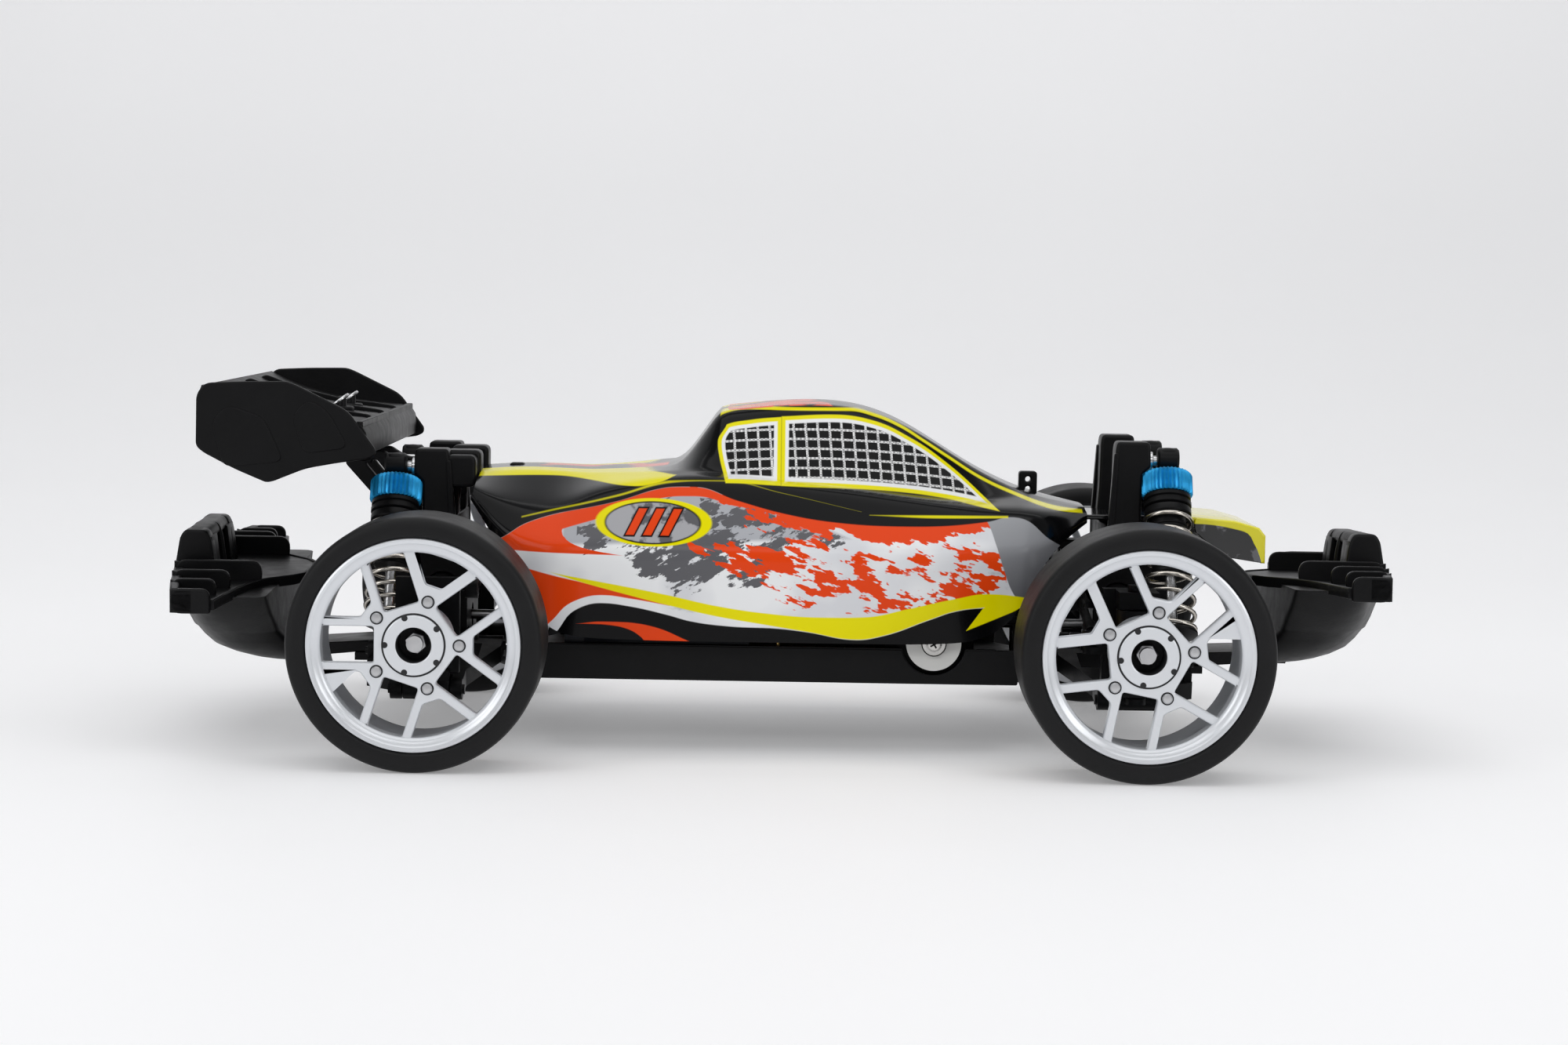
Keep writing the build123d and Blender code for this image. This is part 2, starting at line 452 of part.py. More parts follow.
def bumper():
    """Handle in the middle, ribs that get shorter toward the sides, end caps, and a bowl below."""
    stations = [(24.5, 134.6, 156.4, 48.7), (39, 140.4, 154.4, 48.2), (51, 142.0, 152.6, 47.6)]
    cap_x0, cap_x1, y_end = 141.2, 151.0, 63.8
    tray = [(127, -11), (134.6, -24), (138.6, -39), (cap_x0, 1 - y_end)]
    tray += [(cap_x1 - 1, 1 - y_end), (152.8, -51), (156.6, -25), (158.4, -14)]
    outline = tray + [(x, -y) for x, y in reversed(tray)]
    made = plate_xy(outline, 41.6, 43.6)
    for s in (1, -1):
        for y, x0, x1, top in stations:
            rib = [(x0, 42), (x0, 45.5), (x0 + 1.2, top - 1.2), (x0 + 3.6, top)]
            rib += [(x1 - 1.5, top), (x1 - 0.3, 42)]
            made += plate_xz(rib, *pair(s, y - 0.8, y + 0.8))
        cap = [(cap_x0, 40.5), (cap_x0, 44.4), (cap_x0 + 2.6, 46.8), (cap_x1, 46.8), (cap_x1, 40.5)]
        made += plate_xz(cap, *pair(s, y_end - 1.6, y_end))
        rail = [(156.6, 14), (154.4, 25), (150.8, 51), (148.8, y_end - 0.8)]
        rail += [(cap_x1, y_end - 0.8), (153.2, 51), (157.0, 25), (158.4, 14)]
        made += plate_xy([(x, s * y) for x, y in rail], 41.6, 46.4)
    made += block(156.4, 158.4, -15, 15, 42, 48.6)
    arch = [(147.2, 42), (148.6, 52.6), (150.2, 55.4), (155.2, 55.4), (156.8, 53.6), (158.2, 46), (158.4, 42)]
    recess = [(145.6, 41), (151.0, 52.6), (155.0, 52.6), (156.4, 41)]
    arch_solid = plate_xz(arch, -18, 18) - plate_xz(recess, -12.5, 12.5)
    made += arch_solid - block(146, 156.6, -16.2, -14.6, 43.6, 51) - block(146, 156.6, 14.6, 16.2, 43.6, 51)
    bowl_top = Plane.XY.offset(42) * Pos(143.6, 0) * Rectangle(26, 92)
    bowl_mid = Plane.XY.offset(31) * Pos(142.4, 0) * Rectangle(25, 66)
    bowl_low = Plane.XY.offset(24.6) * Pos(137.5, 0) * Rectangle(24, 50)
    bowl_base = Plane.XY.offset(21.4) * Pos(132, 0) * Rectangle(18, 34)
    bowl = loft([bowl_top, bowl_mid, bowl_low, bowl_base], ruled=True)
    hollow_top = Plane.XY.offset(42.5) * Pos(143.6, 0) * Rectangle(23, 89)
    hollow_mid = Plane.XY.offset(31.6) * Pos(142.4, 0) * Rectangle(22, 63)
    hollow_low = Plane.XY.offset(25.8) * Pos(137.5, 0) * Rectangle(21, 47)
    hollow_base = Plane.XY.offset(23.0) * Pos(132, 0) * Rectangle(15, 31)
    return made + (bowl - loft([hollow_top, hollow_mid, hollow_low, hollow_base], ruled=True))


def bumper_at(front):
    """The same moulding at both ends, a little out of level, on a foot that reaches the chassis floor."""
    lift = 0.0 if front else -BUMPER_RISE
    tilt = FRONT_BUMPER_TILT if front else REAR_BUMPER_TILT
    made = Pos(0, 0, BUMPER_MID + lift) * Rot(tilt, 0, 0) * Pos(0, 0, -BUMPER_MID) * bumper()
    foot = [(106.5, FLOOR_Z + FLOOR_T), (112, FLOOR_Z + FLOOR_T), (126, 21.0 + lift), (134, 21.0 + lift)]
    foot += [(134, 24.0 + lift), (122, 24.0 + lift * 0.7), (106.5, 23.4)]
    made += plate_xz(foot, -10.5, 10.5)
    return made if front else mirror(made, Plane.YZ)


# Steering ----------------------------------------------------------------------------------
LINK_Z = STAND_Z + 2.4  # underside of the centre link
BALL_Z = TIE_Z + DROP  # inner balls of the tie rods


def bellcrank():
    """Two arms at a right angle, one to the centre link and one to the servo's link."""
    z0, z1 = STAND_Z + 0.1, STAND_Z + 2.1
    made = rod((BELL_X, 0, z0), (BELL_X, 0, z1), 4.2)
    made += block(BELL_X - STEER_R, BELL_X, -2, 2, z0, z1)
    made += block(BELL_X - 2, BELL_X + 2, -STEER_R, 0, z0, z1)
    made += rod((BELL_X - STEER_R, 0, z0), (BELL_X - STEER_R, 0, z1), 2.6)
    made += rod((BELL_X, -STEER_R, z0), (BELL_X, -STEER_R, z1), 2.6)
    made -= rod((BELL_X, 0, z0 - 1), (BELL_X, 0, z1 + 1), 2.56)
    made += rod((BELL_X - STEER_R, 0, z1 - 0.5), (BELL_X - STEER_R, 0, LINK_Z + 1.8), 1.2)
    return made + rod((BELL_X, -STEER_R, STAND_Z - 2.6), (BELL_X, -STEER_R, z0 + 0.5), 1.0)


def centre_link():
    """T-shaped plate with a ball stud at each end of its bar."""
    z1 = LINK_Z + 1.8
    made = block(BELL_X - STEER_R - 2.8, 70, -3, 3, LINK_Z, z1)
    made += block(69, 73, -DIFF_Y - 2.4, DIFF_Y + 2.4, LINK_Z, z1)
    ball_x = AXLE_X - STEER_R
    studs = []
    for s in (1, -1):
        made += block(70, ball_x, *pair(s, DIFF_Y - 2.4, DIFF_Y + 2.4), LINK_Z, z1)
        made += rod((ball_x, s * DIFF_Y, LINK_Z), (ball_x, s * DIFF_Y, z1), 2.4)
        studs.append(ball_stud((ball_x, s * DIFF_Y, z1), (ball_x, s * DIFF_Y, BALL_Z), 0.8, 1.5))
    made -= rod((BELL_X - STEER_R, 0, LINK_Z - 1), (BELL_X - STEER_R, 0, z1 + 1), 1.26)
    return [made, *studs]


def drag_link():
    """From the bellcrank's short arm to the servo disc, with an upright slot for the disc's pin."""
    pin_z = HORN_Z + HORN_ARM
    y = -38.6
    made = rod((BELL_X, -STEER_R, STAND_Z - 2.4), (BELL_X, -STEER_R, STAND_Z - 0.2), 2.6)
    made += rod((BELL_X - 1.5, -STEER_R - 1.5, STAND_Z - 1.4), (HORN_X + 1.0, y, pin_z), 1.1)
    made += block(HORN_X - 2.4, HORN_X + 2.4, y - 0.8, y + 0.8, pin_z - 3.6, pin_z + 2.8)
    made -= rod((BELL_X, -STEER_R, STAND_Z - 5), (BELL_X, -STEER_R, STAND_Z + 5), 1.06)
    return made - block(HORN_X - 1.1, HORN_X + 1.1, y - 3, y + 3, pin_z - 2.4, pin_z + 1.4)


def servo_horn():
    """White disc at the side of the chassis, with a washer, a screw and the drag link's pin."""
    disc = rod((HORN_X, -42.6, HORN_Z), (HORN_X, -40.4, HORN_Z), HORN_R)
    pin_z = HORN_Z + HORN_ARM
    disc += rod((HORN_X, -41, pin_z), (HORN_X, -37.2, pin_z), 0.9)
    disc += rod((HORN_X, -41, HORN_Z), (HORN_X, -35, HORN_Z), 1.8)
    washer = rod((HORN_X, -43.0, HORN_Z), (HORN_X, -42.6, HORN_Z), 2.9)
    screw = rod((HORN_X, -43.8, HORN_Z), (HORN_X, -43.0, HORN_Z), 2.0)
    screw -= block(HORN_X - 1.3, HORN_X + 1.3, -44, -43.3, HORN_Z - 0.3, HORN_Z + 0.3)
    screw -= block(HORN_X - 0.3, HORN_X + 0.3, -44, -43.3, HORN_Z - 1.3, HORN_Z + 1.3)
    return [disc, washer, screw]


def servo_case():
    made = block(HORN_X - 12, HORN_X + 7, -36.6, -16, FLOOR_Z + FLOOR_T, 31.2)
    made += block(HORN_X - 16, HORN_X + 11, -30, -28, 22, 29)
    return made - rod((HORN_X, -37, HORN_Z), (HORN_X, -33, HORN_Z), 1.86)


# Drive -------------------------------------------------------------------------------------
SPUR_TEETH, PINION_TEETH, MODULE = 26, 10, 0.8
MOTOR_Y, MOTOR_Z = 13.5, SHAFT_Z + 5.3


def gear(teeth, x0, x1, phase):
    """Spur gear about +X, with slim straight-sided teeth that leave some backlash."""
    pitch_r = teeth * MODULE / 2
    root_r, tip_r = pitch_r - 1.0, pitch_r + 0.62
    step = 2 * pi / teeth
    points = []
    for k in range(teeth):
        for r, share in ((root_r, -0.27), (tip_r, -0.09), (tip_r, 0.09), (root_r, 0.27)):
            a = (k + share) * step + phase
            points.append((r * cos(a), r * sin(a)))
    blank = extrude(make_face(Polyline(*points, close=True)), x1 - x0)
    return Plane(origin=(x0, 0, 0), x_dir=(0, 1, 0), z_dir=(1, 0, 0)) * blank


def centre_drive():
    shaft = rod((-84, 0, SHAFT_Z), (84, 0, SHAFT_Z), 1.3)
    toward = atan2(MOTOR_Z - SHAFT_Z, MOTOR_Y)
    spur = Pos(0, 0, SHAFT_Z) * gear(SPUR_TEETH, -4, -0.5, toward)
    spur += rod((-7, 0, SHAFT_Z), (1.5, 0, SHAFT_Z), 3.2)
    return [spur - rod((-8, 0, SHAFT_Z), (3, 0, SHAFT_Z), 1.3), shaft]


def motor():
    can = rod((-36, MOTOR_Y, MOTOR_Z), (-9, MOTOR_Y, MOTOR_Z), 9.6)
    can += rod((-38, MOTOR_Y, MOTOR_Z), (-7.4, MOTOR_Y, MOTOR_Z), 3.4)
    can += block(-32, -14, MOTOR_Y - 6, MOTOR_Y + 6, FLOOR_Z + FLOOR_T, MOTOR_Z - 6)
    return can - rod((-9.6, MOTOR_Y, MOTOR_Z), (-7, MOTOR_Y, MOTOR_Z), 1.06)


def motor_pinion():
    toward = atan2(MOTOR_Z - SHAFT_Z, MOTOR_Y) + pi
    made = Pos(0, MOTOR_Y, MOTOR_Z) * gear(PINION_TEETH, -4.4, 0, toward + pi / PINION_TEETH)
    return made + rod((-9.2, MOTOR_Y, MOTOR_Z), (0.6, MOTOR_Y, MOTOR_Z), 1.0)


def battery_pack():
    cells = [rod((-50, -33 + 13.2 * k, 27), (-6.5 - 1.5, -33 + 13.2 * k, 27), 6.5) for k in range(2)]
    return cells + [block(-55, -50, -39.4, -13.4, 20.5, 33.5)]


def electronics():
    made = block(10, 34, 14, 38, FLOOR_Z + FLOOR_T, 34, 1.0)
    fins = [block(12, 32, 17 + 4 * k, 18.4 + 4 * k, 33.5, 38) for k in range(5)]
    for fin in fins:
        made += fin
    return made


# Body --------------------------------------------------------------------------------------
# One line per station: x, then (y, z) of the hem, side crease, belt, cabin foot, roof edge, middle.
BODY = [
    (-79.2, (33.0, 56.0), (34.5, 57.5), (34.0, 60.5), (15.0, 66.6), (10.0, 67.1), 67.3),
    (-69.4, (40.0, 51.8), (41.5, 53.6), (37.0, 60.4), (16.0, 68.0), (10.0, 68.5), 68.6),
    (-58.0, (47.5, 49.0), (47.6, 51.7), (39.0, 59.0), (17.0, 68.2), (10.0, 68.6), 68.7),
    (-57.4, (47.8, 34.2), (47.7, 51.7), (39.0, 59.2), (17.0, 68.2), (10.0, 68.6), 68.7),
    (-52.5, (48.0, 29.6), (48.6, 51.5), (39.4, 62.6), (18.0, 68.2), (10.0, 68.6), 68.7),
    (-46.4, (47.6, 29.0), (49.0, 51.3), (40.0, 65.8), (20.0, 68.4), (11.0, 68.7), 68.8),
    (-26.5, (47.6, 28.8), (49.8, 51.3), (40.0, 69.0), (31.0, 70.0), (17.0, 70.0), 70.1),
    (-16.0, (47.6, 28.8), (50.0, 51.3), (40.0, 68.6), (33.0, 70.0), (20.0, 85.0), 85.2),
    (1.6, (47.6, 28.8), (50.0, 51.3), (40.0, 67.0), (33.6, 68.4), (20.0, 87.0), 87.8),
    (17.0, (47.6, 28.8), (50.0, 51.3), (40.0, 65.6), (33.4, 67.0), (20.0, 87.1), 88.0),
    (30.0, (47.4, 28.8), (49.6, 51.5), (40.0, 64.2), (32.0, 65.4), (19.4, 83.2), 84.0),
    (43.0, (46.6, 29.0), (48.6, 51.9), (39.6, 62.8), (30.0, 63.9), (18.6, 75.2), 75.4),
    (52.2, (45.2, 30.1), (47.0, 52.3), (38.6, 62.0), (27.0, 63.4), (17.4, 69.6), 69.8),
    (60.4, (43.6, 36.6), (45.0, 52.8), (37.0, 61.6), (22.0, 64.2), (15.0, 66.0), 66.2),
    (62.2, (43.0, 43.0), (44.4, 53.0), (36.4, 61.6), (21.0, 64.0), (14.4, 65.3), 65.5),
    (69.0, (37.0, 53.4), (38.4, 54.4), (33.0, 61.2), (17.0, 62.6), (12.0, 63.1), 63.3),
    (79.6, (12.4, 57.8), (12.8, 58.4), (12.6, 60.0), (9.0, 60.8), (6.0, 61.0), 61.1),
]


def body_section(row, inset):
    x, *pairs, middle = row
    inner = []
    for index, (y, z) in enumerate(pairs):
        down = 0.0 if index == 0 else inset * (0.2 if index == 1 else 1.0)
        inner.append((y - inset * (0.75 if index in (2, 3, 4) else 1.05), z - down))
    if inset:
        inner[0] = (inner[0][0], inner[0][1] - 1.5)
    half = inner + [(0, middle - inset)]
    outline = half + [(-y, z) for y, z in reversed(inner)]
    across = Plane(origin=(x, 0, 0), x_dir=(0, 1, 0), z_dir=(1, 0, 0))
    return across * make_face(Polyline(*outline, close=True))


def body_shell():
    """Thin shell: pods, cabin, rear deck, and a narrow bonnet that runs forward to the nose."""
    outer = loft([body_section(row, 0.0) for row in BODY], ruled=True)
    inner = loft([body_section(row, WALL) for row in BODY], ruled=True)
    shell = outer - inner
    shell += block(78.0, 109.0, -12.4, 12.4, 58.4, 59.8)
    nose_top = [(107.4, 60.2), (118, 59.4), (124.6, 57.6), (126.2, 55.6), (126.2, 48.4), (124.8, 48.4)]
    nose_low = [(124.8, 55.0), (123.6, 56.4), (117.6, 58.0), (107.4, 58.8)]
    shell += plate_xz(nose_top + nose_low, -20, 20)
    cheek = nose_top[:5] + [(115, 50.0), (107.4, 56.5)]
    for y0 in (-21.2, 20.0):
        shell += plate_xz(cheek, y0, y0 + 1.2)
    shell -= rod((65.5, 0, 55), (65.5, 0, 75), 2.5)
    return shell - rod((-70.4, 0, 55), (-70.4, 0, 75), 2.1)


def main():
    os.makedirs("parts", exist_ok=True)
    for corner in CORNERS:
        steered = corner in FRONT
        turn = -7 if steered else 36
        save(f"tyre_{corner}", place(tyre(), corner))
        save(f"rim_{corner}", *[place(s, corner) for s in [rim(turn), *wheel_fittings(turn)]])
        save(f"lower_arm_{corner}", *[place(s, corner) for s in lower_arm()])
        save(f"upper_link_{corner}", place(upper_link(), corner))
        carrier = "caster_block" if steered else "rear_hub"
        save(f"{carrier}_{corner}", *[place(s, corner) for s in upright(steered)])
        save(f"drive_shaft_{corner}", place(drive_shaft(), corner))
        save(f"shock_body_{corner}", *[place(s, corner) for s in shock_body()])
        save(f"shock_rod_{corner}", *[place(s, corner) for s in shock_rod()])
        save(f"shock_spring_{corner}", place(shock_spring(), corner))
        if steered:
            save(f"steering_knuckle_{corner}", *[place(s, corner) for s in knuckle()])
            save(f"tie_rod_{corner}", place(tie_rod(), corner))
    save("chassis_tub", chassis_tub())
    save("front_gearbox", *gearbox())
    save("rear_gearbox", *[mirror(s, Plane.YZ) for s in gearbox()])
    save("front_shock_tower", *front_tower())
    save("rear_shock_tower", *[mirror(s, Plane.YZ) for s in rear_tower()])
    save("rear_wing", mirror(rear_wing(), Plane.YZ))
    save("wing_clips", *[mirror(s, Plane.YZ) for s in wing_clips()])
    save("front_bumper", bumper_at(True))
    save("rear_bumper", bumper_at(False))
    save("bellcrank", bellcrank())
    save("centre_link", *centre_link())
    save("drag_link", drag_link())
    save("servo_horn", *servo_horn())
    save("servo_case", servo_case())
    save("centre_drive", *centre_drive())
    save("motor", motor())
    save("motor_pinion", motor_pinion())
    save("battery_pack", *battery_pack())
    save("electronics", electronics())
    save("body_shell", body_shell())


main()
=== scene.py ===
"""Looks of the off-road model car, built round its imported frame."""

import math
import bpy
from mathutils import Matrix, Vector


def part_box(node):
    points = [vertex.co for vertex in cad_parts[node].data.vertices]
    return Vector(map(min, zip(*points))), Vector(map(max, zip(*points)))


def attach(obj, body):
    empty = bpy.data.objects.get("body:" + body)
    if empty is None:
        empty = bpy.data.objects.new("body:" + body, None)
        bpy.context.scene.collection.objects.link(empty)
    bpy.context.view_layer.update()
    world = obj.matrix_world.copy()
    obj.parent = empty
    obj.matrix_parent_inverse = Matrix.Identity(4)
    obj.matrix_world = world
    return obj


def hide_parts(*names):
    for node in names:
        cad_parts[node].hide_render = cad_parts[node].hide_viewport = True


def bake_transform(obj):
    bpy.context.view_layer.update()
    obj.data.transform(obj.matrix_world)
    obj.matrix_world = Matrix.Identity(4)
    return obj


bl_info = {
    "name": "Off-road model car",
    "version": (1, 0, 0),
    "blender": (4, 5, 0),
    "location": "View3D > Sidebar > Model car",
    "description": "Builds the shell, wheels, wing, bumpers and shock absorbers of a model car on its frame",
    "category": "Add Mesh",
}

import bpy
from bpy.props import FloatProperty, FloatVectorProperty, PointerProperty
from mathutils import Matrix, Vector

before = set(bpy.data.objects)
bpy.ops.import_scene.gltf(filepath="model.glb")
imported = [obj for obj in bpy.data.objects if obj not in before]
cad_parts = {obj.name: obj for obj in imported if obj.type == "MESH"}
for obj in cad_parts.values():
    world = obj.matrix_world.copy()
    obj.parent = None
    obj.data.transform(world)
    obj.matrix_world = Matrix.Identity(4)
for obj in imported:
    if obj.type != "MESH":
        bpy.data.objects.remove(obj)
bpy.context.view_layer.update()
MM = 0.001
CORNERS = {"front_left": (1, 1), "front_right": (1, -1), "rear_left": (-1, 1), "rear_right": (-1, -1)}

# Places that the frame fixes, in metres: the front left wheel
TYRE_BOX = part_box("tyre_front_left")
AXLE_X = (TYRE_BOX[0][0] + TYRE_BOX[1][0]) / 2
AXLE_Z = (TYRE_BOX[0][2] + TYRE_BOX[1][2]) / 2
WHEEL_Y = (TYRE_BOX[0][1] + TYRE_BOX[1][1]) / 2

# Lengths below are in millimetres
AXLE = (AXLE_X / MM, AXLE_Z / MM)
WHEEL_MID = WHEEL_Y / MM
TYRE_HALF = 13.0  # half the tyre's width
CAP_BORE = 4.3  # radius of the hole in the middle of a rim
SPOKE_TURN = -7.0  # how far the front rims are turned, in degrees
REAR_SPOKE_TURN = 43.0  # how much further the rear ones are turned
SHOCK_TOP = Vector((100.0, 18.0, 74.5))  # pins of the front left shock absorber
SHOCK_LOW = Vector((100.0, 42.62, 24.46))
SHOCK_LENGTH = (SHOCK_LOW - SHOCK_TOP).length
SHOCK_AXIS = (SHOCK_LOW - SHOCK_TOP).normalized()


# Sizes and colours a user would change -----------------------------------------------------
def length(name, text, value):
    return FloatProperty(
        name=name, description=text, default=value, min=0.0, subtype="DISTANCE", unit="LENGTH"
    )


def colour(name, text, value):
    return FloatVectorProperty(
        name=name, description=text, default=value, size=3, min=0.0, max=1.0, subtype="COLOR"
    )


class CarSizes(bpy.types.PropertyGroup):
    """Sizes of the detail that the frame leaves open."""

    shell_wall: length("Shell wall", "Thickness of the thin formed shell", 0.0008)
    net_pitch: length("Net pitch", "Distance between two strings of the window nets", 0.0031)
    spoke_round: length("Spoke rounding", "Rounding of the rim's spokes", 0.00045)
    spring_wire: length("Spring wire", "Radius of the springs' wire", 0.00058)
    spring_turns: FloatProperty(
        name="Spring turns", description="Working turns of each spring", default=7.0, min=2.0
    )


class CarColours(bpy.types.PropertyGroup):
    """Paints and plastics."""

    shell_black: colour("Shell black", "Gloss black of the cabin and the skirt", (0.002, 0.002, 0.0025))
    lime: colour("Lime", "Yellow of the lines and the swoosh", (0.84, 0.76, 0.0))
    orange: colour("Orange", "Orange of the side", (0.80, 0.060, 0.006))
    pale: colour("Pale grey", "Lightest grey of the side", (0.70, 0.71, 0.74))
    mid_grey: colour("Middle grey", "Silver grey under the brush strokes", (0.42, 0.43, 0.46))
    dark_grey: colour("Dark grey", "Darkest brush strokes", (0.12, 0.12, 0.13))
    rubber: colour("Rubber", "Tyres", (0.006, 0.006, 0.0065))
    silver: colour("Wheel silver", "Painted rims", (0.72, 0.74, 0.77))
    nylon: colour("Black nylon", "Bumpers, towers, arms and links", (0.0045, 0.0045, 0.005))
    anodised: colour("Anodised blue", "Caps of the shock absorbers", (0.010, 0.30, 0.62))


# Node helpers ------------------------------------------------------------------------------
class Paint:
    """One material and short calls that wire its nodes."""

    def __init__(self, name, rough=0.5, metal=0.0):
        self.material = bpy.data.materials.new(name)
        self.material.use_nodes = True
        self.tree = self.material.node_tree
        self.shader = self.tree.nodes["Principled BSDF"]
        self.shader.inputs["Roughness"].default_value = rough
        self.shader.inputs["Metallic"].default_value = metal

    def node(self, kind, **settings):
        made = self.tree.nodes.new("ShaderNode" + kind)
        for key, value in settings.items():
            setattr(made, key, value)
        return made

    def put(self, socket, value):
        if isinstance(value, bpy.types.NodeSocket):
            self.tree.links.new(value, socket)
        else:
            socket.default_value = value

    def maths(self, operation, *values):
        made = self.node("Math", operation=operation)
        for socket, value in zip(made.inputs, values):
            self.put(socket, value)
        return made.outputs[0]

    def less(self, first, second):
        return self.maths("SUBTRACT", first, second)

    def times(self, first, second):
        return self.maths("MULTIPLY", first, second)

    def plus(self, first, second):
        return self.maths("ADD", first, second)

    def size(self, value):
        return self.maths("ABSOLUTE", value)

    def most(self, first, second):
        return self.maths("MAXIMUM", first, second)

    def mix(self, share, first, second):
        made = self.node("Mix", data_type="RGBA")
        self.put(made.inputs[0], share)
        self.put(made.inputs[6], first)
        self.put(made.inputs[7], second)
        return made.outputs[2]

    def place(self, scale=(1, 1, 1), turn=(0, 0, 0)):
        """Position on the object, stretched and turned."""
        mapping = self.node("Mapping", vector_type="TEXTURE")
        mapping.inputs["Scale"].default_value = tuple(1 / value for value in scale)
        mapping.inputs["Rotation"].default_value = turn
        self.put(mapping.inputs["Vector"], self.node("TexCoord").outputs["Object"])
        return mapping.outputs[0]

    def noise(self, size, detail=4.0, rough=0.55, where=None):
        """Noise whose patches are about size metres across."""
        made = self.node("TexNoise")
        made.inputs["Scale"].default_value = 1 / size
        made.inputs["Detail"].default_value = detail
        made.inputs["Roughness"].default_value = rough
        self.put(made.inputs["Vector"], where or self.place())
        return made.outputs[0]

    def ramp(self, value, low, high):
        """0 below low, 1 above high."""
        made = self.node("MapRange")
        self.put(made.inputs[0], value)
        made.inputs[1].default_value = low
        made.inputs[2].default_value = high
        return made.outputs[0]

    def between(self, value, low, high):
        """From low to high as value goes from 0 to 1."""
        made = self.node("MapRange")
        self.put(made.inputs[0], value)
        made.inputs[3].default_value = low
        made.inputs[4].default_value = high
        return made.outputs[0]

    def bump(self, height, distance, strength=1.0):
        made = self.node("Bump")
        made.inputs["Strength"].default_value = strength
        made.inputs["Distance"].default_value = distance
        self.put(made.inputs["Height"], height)
        self.put(self.shader.inputs["Normal"], made.outputs[0])

    def colour(self, value):
        self.put(self.shader.inputs["Base Color"], value)

    def rough(self, value):
        self.put(self.shader.inputs["Roughness"], value)


def rgb(values, factor=1.0):
    return (values[0] * factor, values[1] * factor, values[2] * factor, 1.0)


def moulded(name, base, rough, grain=0.0004, depth=0.00004, metal=0.0, spread=0.35):
    """A moulded or machined surface: faint cloudiness in colour and gloss, and a fine grain."""
    paint = Paint(name, rough, metal)
    cloud = paint.noise(0.012, 5)
    paint.shader.inputs["Specular IOR Level"].default_value = 0.16
    paint.colour(paint.mix(cloud, rgb(base, 1 - spread), rgb(base, 1 + spread)))
    paint.rough(paint.between(paint.noise(0.004, 6), max(rough - 0.12, 0.05), rough + 0.14))
    paint.bump(paint.noise(grain, 3), depth, 0.5)
    return paint.material


# Mesh helpers ------------------------------------------------------------------------------
def new_object(name, data):
    made = bpy.data.objects.new(name, data)
    bpy.context.scene.collection.objects.link(made)
    return made


def piece(name, mesh, material, angle=35.0):
    """A shown object with smooth faces and sharp edges above the angle."""
    mesh.polygons.foreach_set("use_smooth", [True] * len(mesh.polygons))
    mesh.set_sharp_from_angle(angle=math.radians(angle))
    mesh.materials.clear()
    mesh.materials.append(material)
    return new_object(name, mesh)


def baked(obj, name):
    """The object's mesh with its modifiers applied; the object goes."""
    bpy.context.view_layer.update()
    graph = bpy.context.evaluated_depsgraph_get()
    mesh = bpy.data.meshes.new_from_object(obj.evaluated_get(graph))
    mesh.name = name
    mesh.transform(obj.matrix_world)
    bpy.data.objects.remove(obj)
    return mesh


def new_mesh(name, points, faces):
    made = bpy.data.meshes.new(name)
    made.from_pydata(points, [], faces)
    made.update()
    return made


def joined(name, meshes):
    """Several meshes as one."""
    points, faces = [], []
    for mesh in meshes:
        start = len(points)
        points += [tuple(vertex.co) for vertex in mesh.vertices]
        faces += [tuple(start + index for index in face.vertices) for face in mesh.polygons]
    return new_mesh(name, points, faces)


def mirrored(mesh, sx, sy):
    """A copy moved to another corner of the car by mirroring."""
    copy = mesh.copy()
    copy.transform(Matrix.Diagonal((sx, sy, 1, 1)))
    if sx * sy < 0:
        copy.flip_normals()
    return copy


def turns(count):
    """The angles of count even steps of a full turn."""
    return [2 * math.pi * step / count for step in range(count)]


def circle(x, z, radius, steps):
    """A round outline in mm, or a polygon with few steps."""
    return [(x + radius * math.cos(angle), z + radius * math.sin(angle)) for angle in turns(steps)]


def lathe(profile, centre, steps=96):
    """A closed (radius, y) profile turned about the line across the car through (x, z), in mm."""
    points, faces = [], []
    count = len(profile)
    for angle in turns(steps):
        for radius, y in profile:
            x, z = centre[0] + radius * math.cos(angle), centre[1] + radius * math.sin(angle)
            points.append((x * MM, y * MM, z * MM))
    for step in range(steps):
        here, there = step * count, (step + 1) % steps * count
        for k in range(count):
            after = (k + 1) % count
            faces.append((here + k, there + k, there + after, here + after))
    return new_mesh("turned", points, faces)


def on_wheel(profile, steps, centre=AXLE):
    """A lathe shape of the front left wheel, with y from the wheel's middle, in mm."""
    return lathe([(radius, WHEEL_MID + y) for radius, y in profile], centre, steps)


def spindle(profile, start, end, steps=48, flutes=0, depth=0.0):
    """An open (radius, distance) profile turned about the line from start to end and capped, in mm."""
    start = Vector(start)
    axis = (Vector(end) - start).normalized()
    side = axis.orthogonal().normalized()
    up = axis.cross(side)
    points, faces = [], []
    count = len(profile)
    for angle in turns(steps):
        dent = depth * (0.5 + 0.5 * math.cos(flutes * angle)) if flutes else 0.0
        spoke = side * math.cos(angle) + up * math.sin(angle)
        for radius, along in profile:
            points.append((start + axis * along + spoke * (radius - min(dent, radius * 0.3))) * MM)
    for step in range(steps):
        here, there = step * count, (step + 1) % steps * count
        for k in range(count - 1):
            faces.append((here + k, here + k + 1, there + k + 1, there + k))
    faces.append(tuple(step * count for step in range(steps)))
    faces.append(tuple(step * count + count - 1 for step in reversed(range(steps))))
    return new_mesh("spindle", [tuple(point) for point in points], faces)


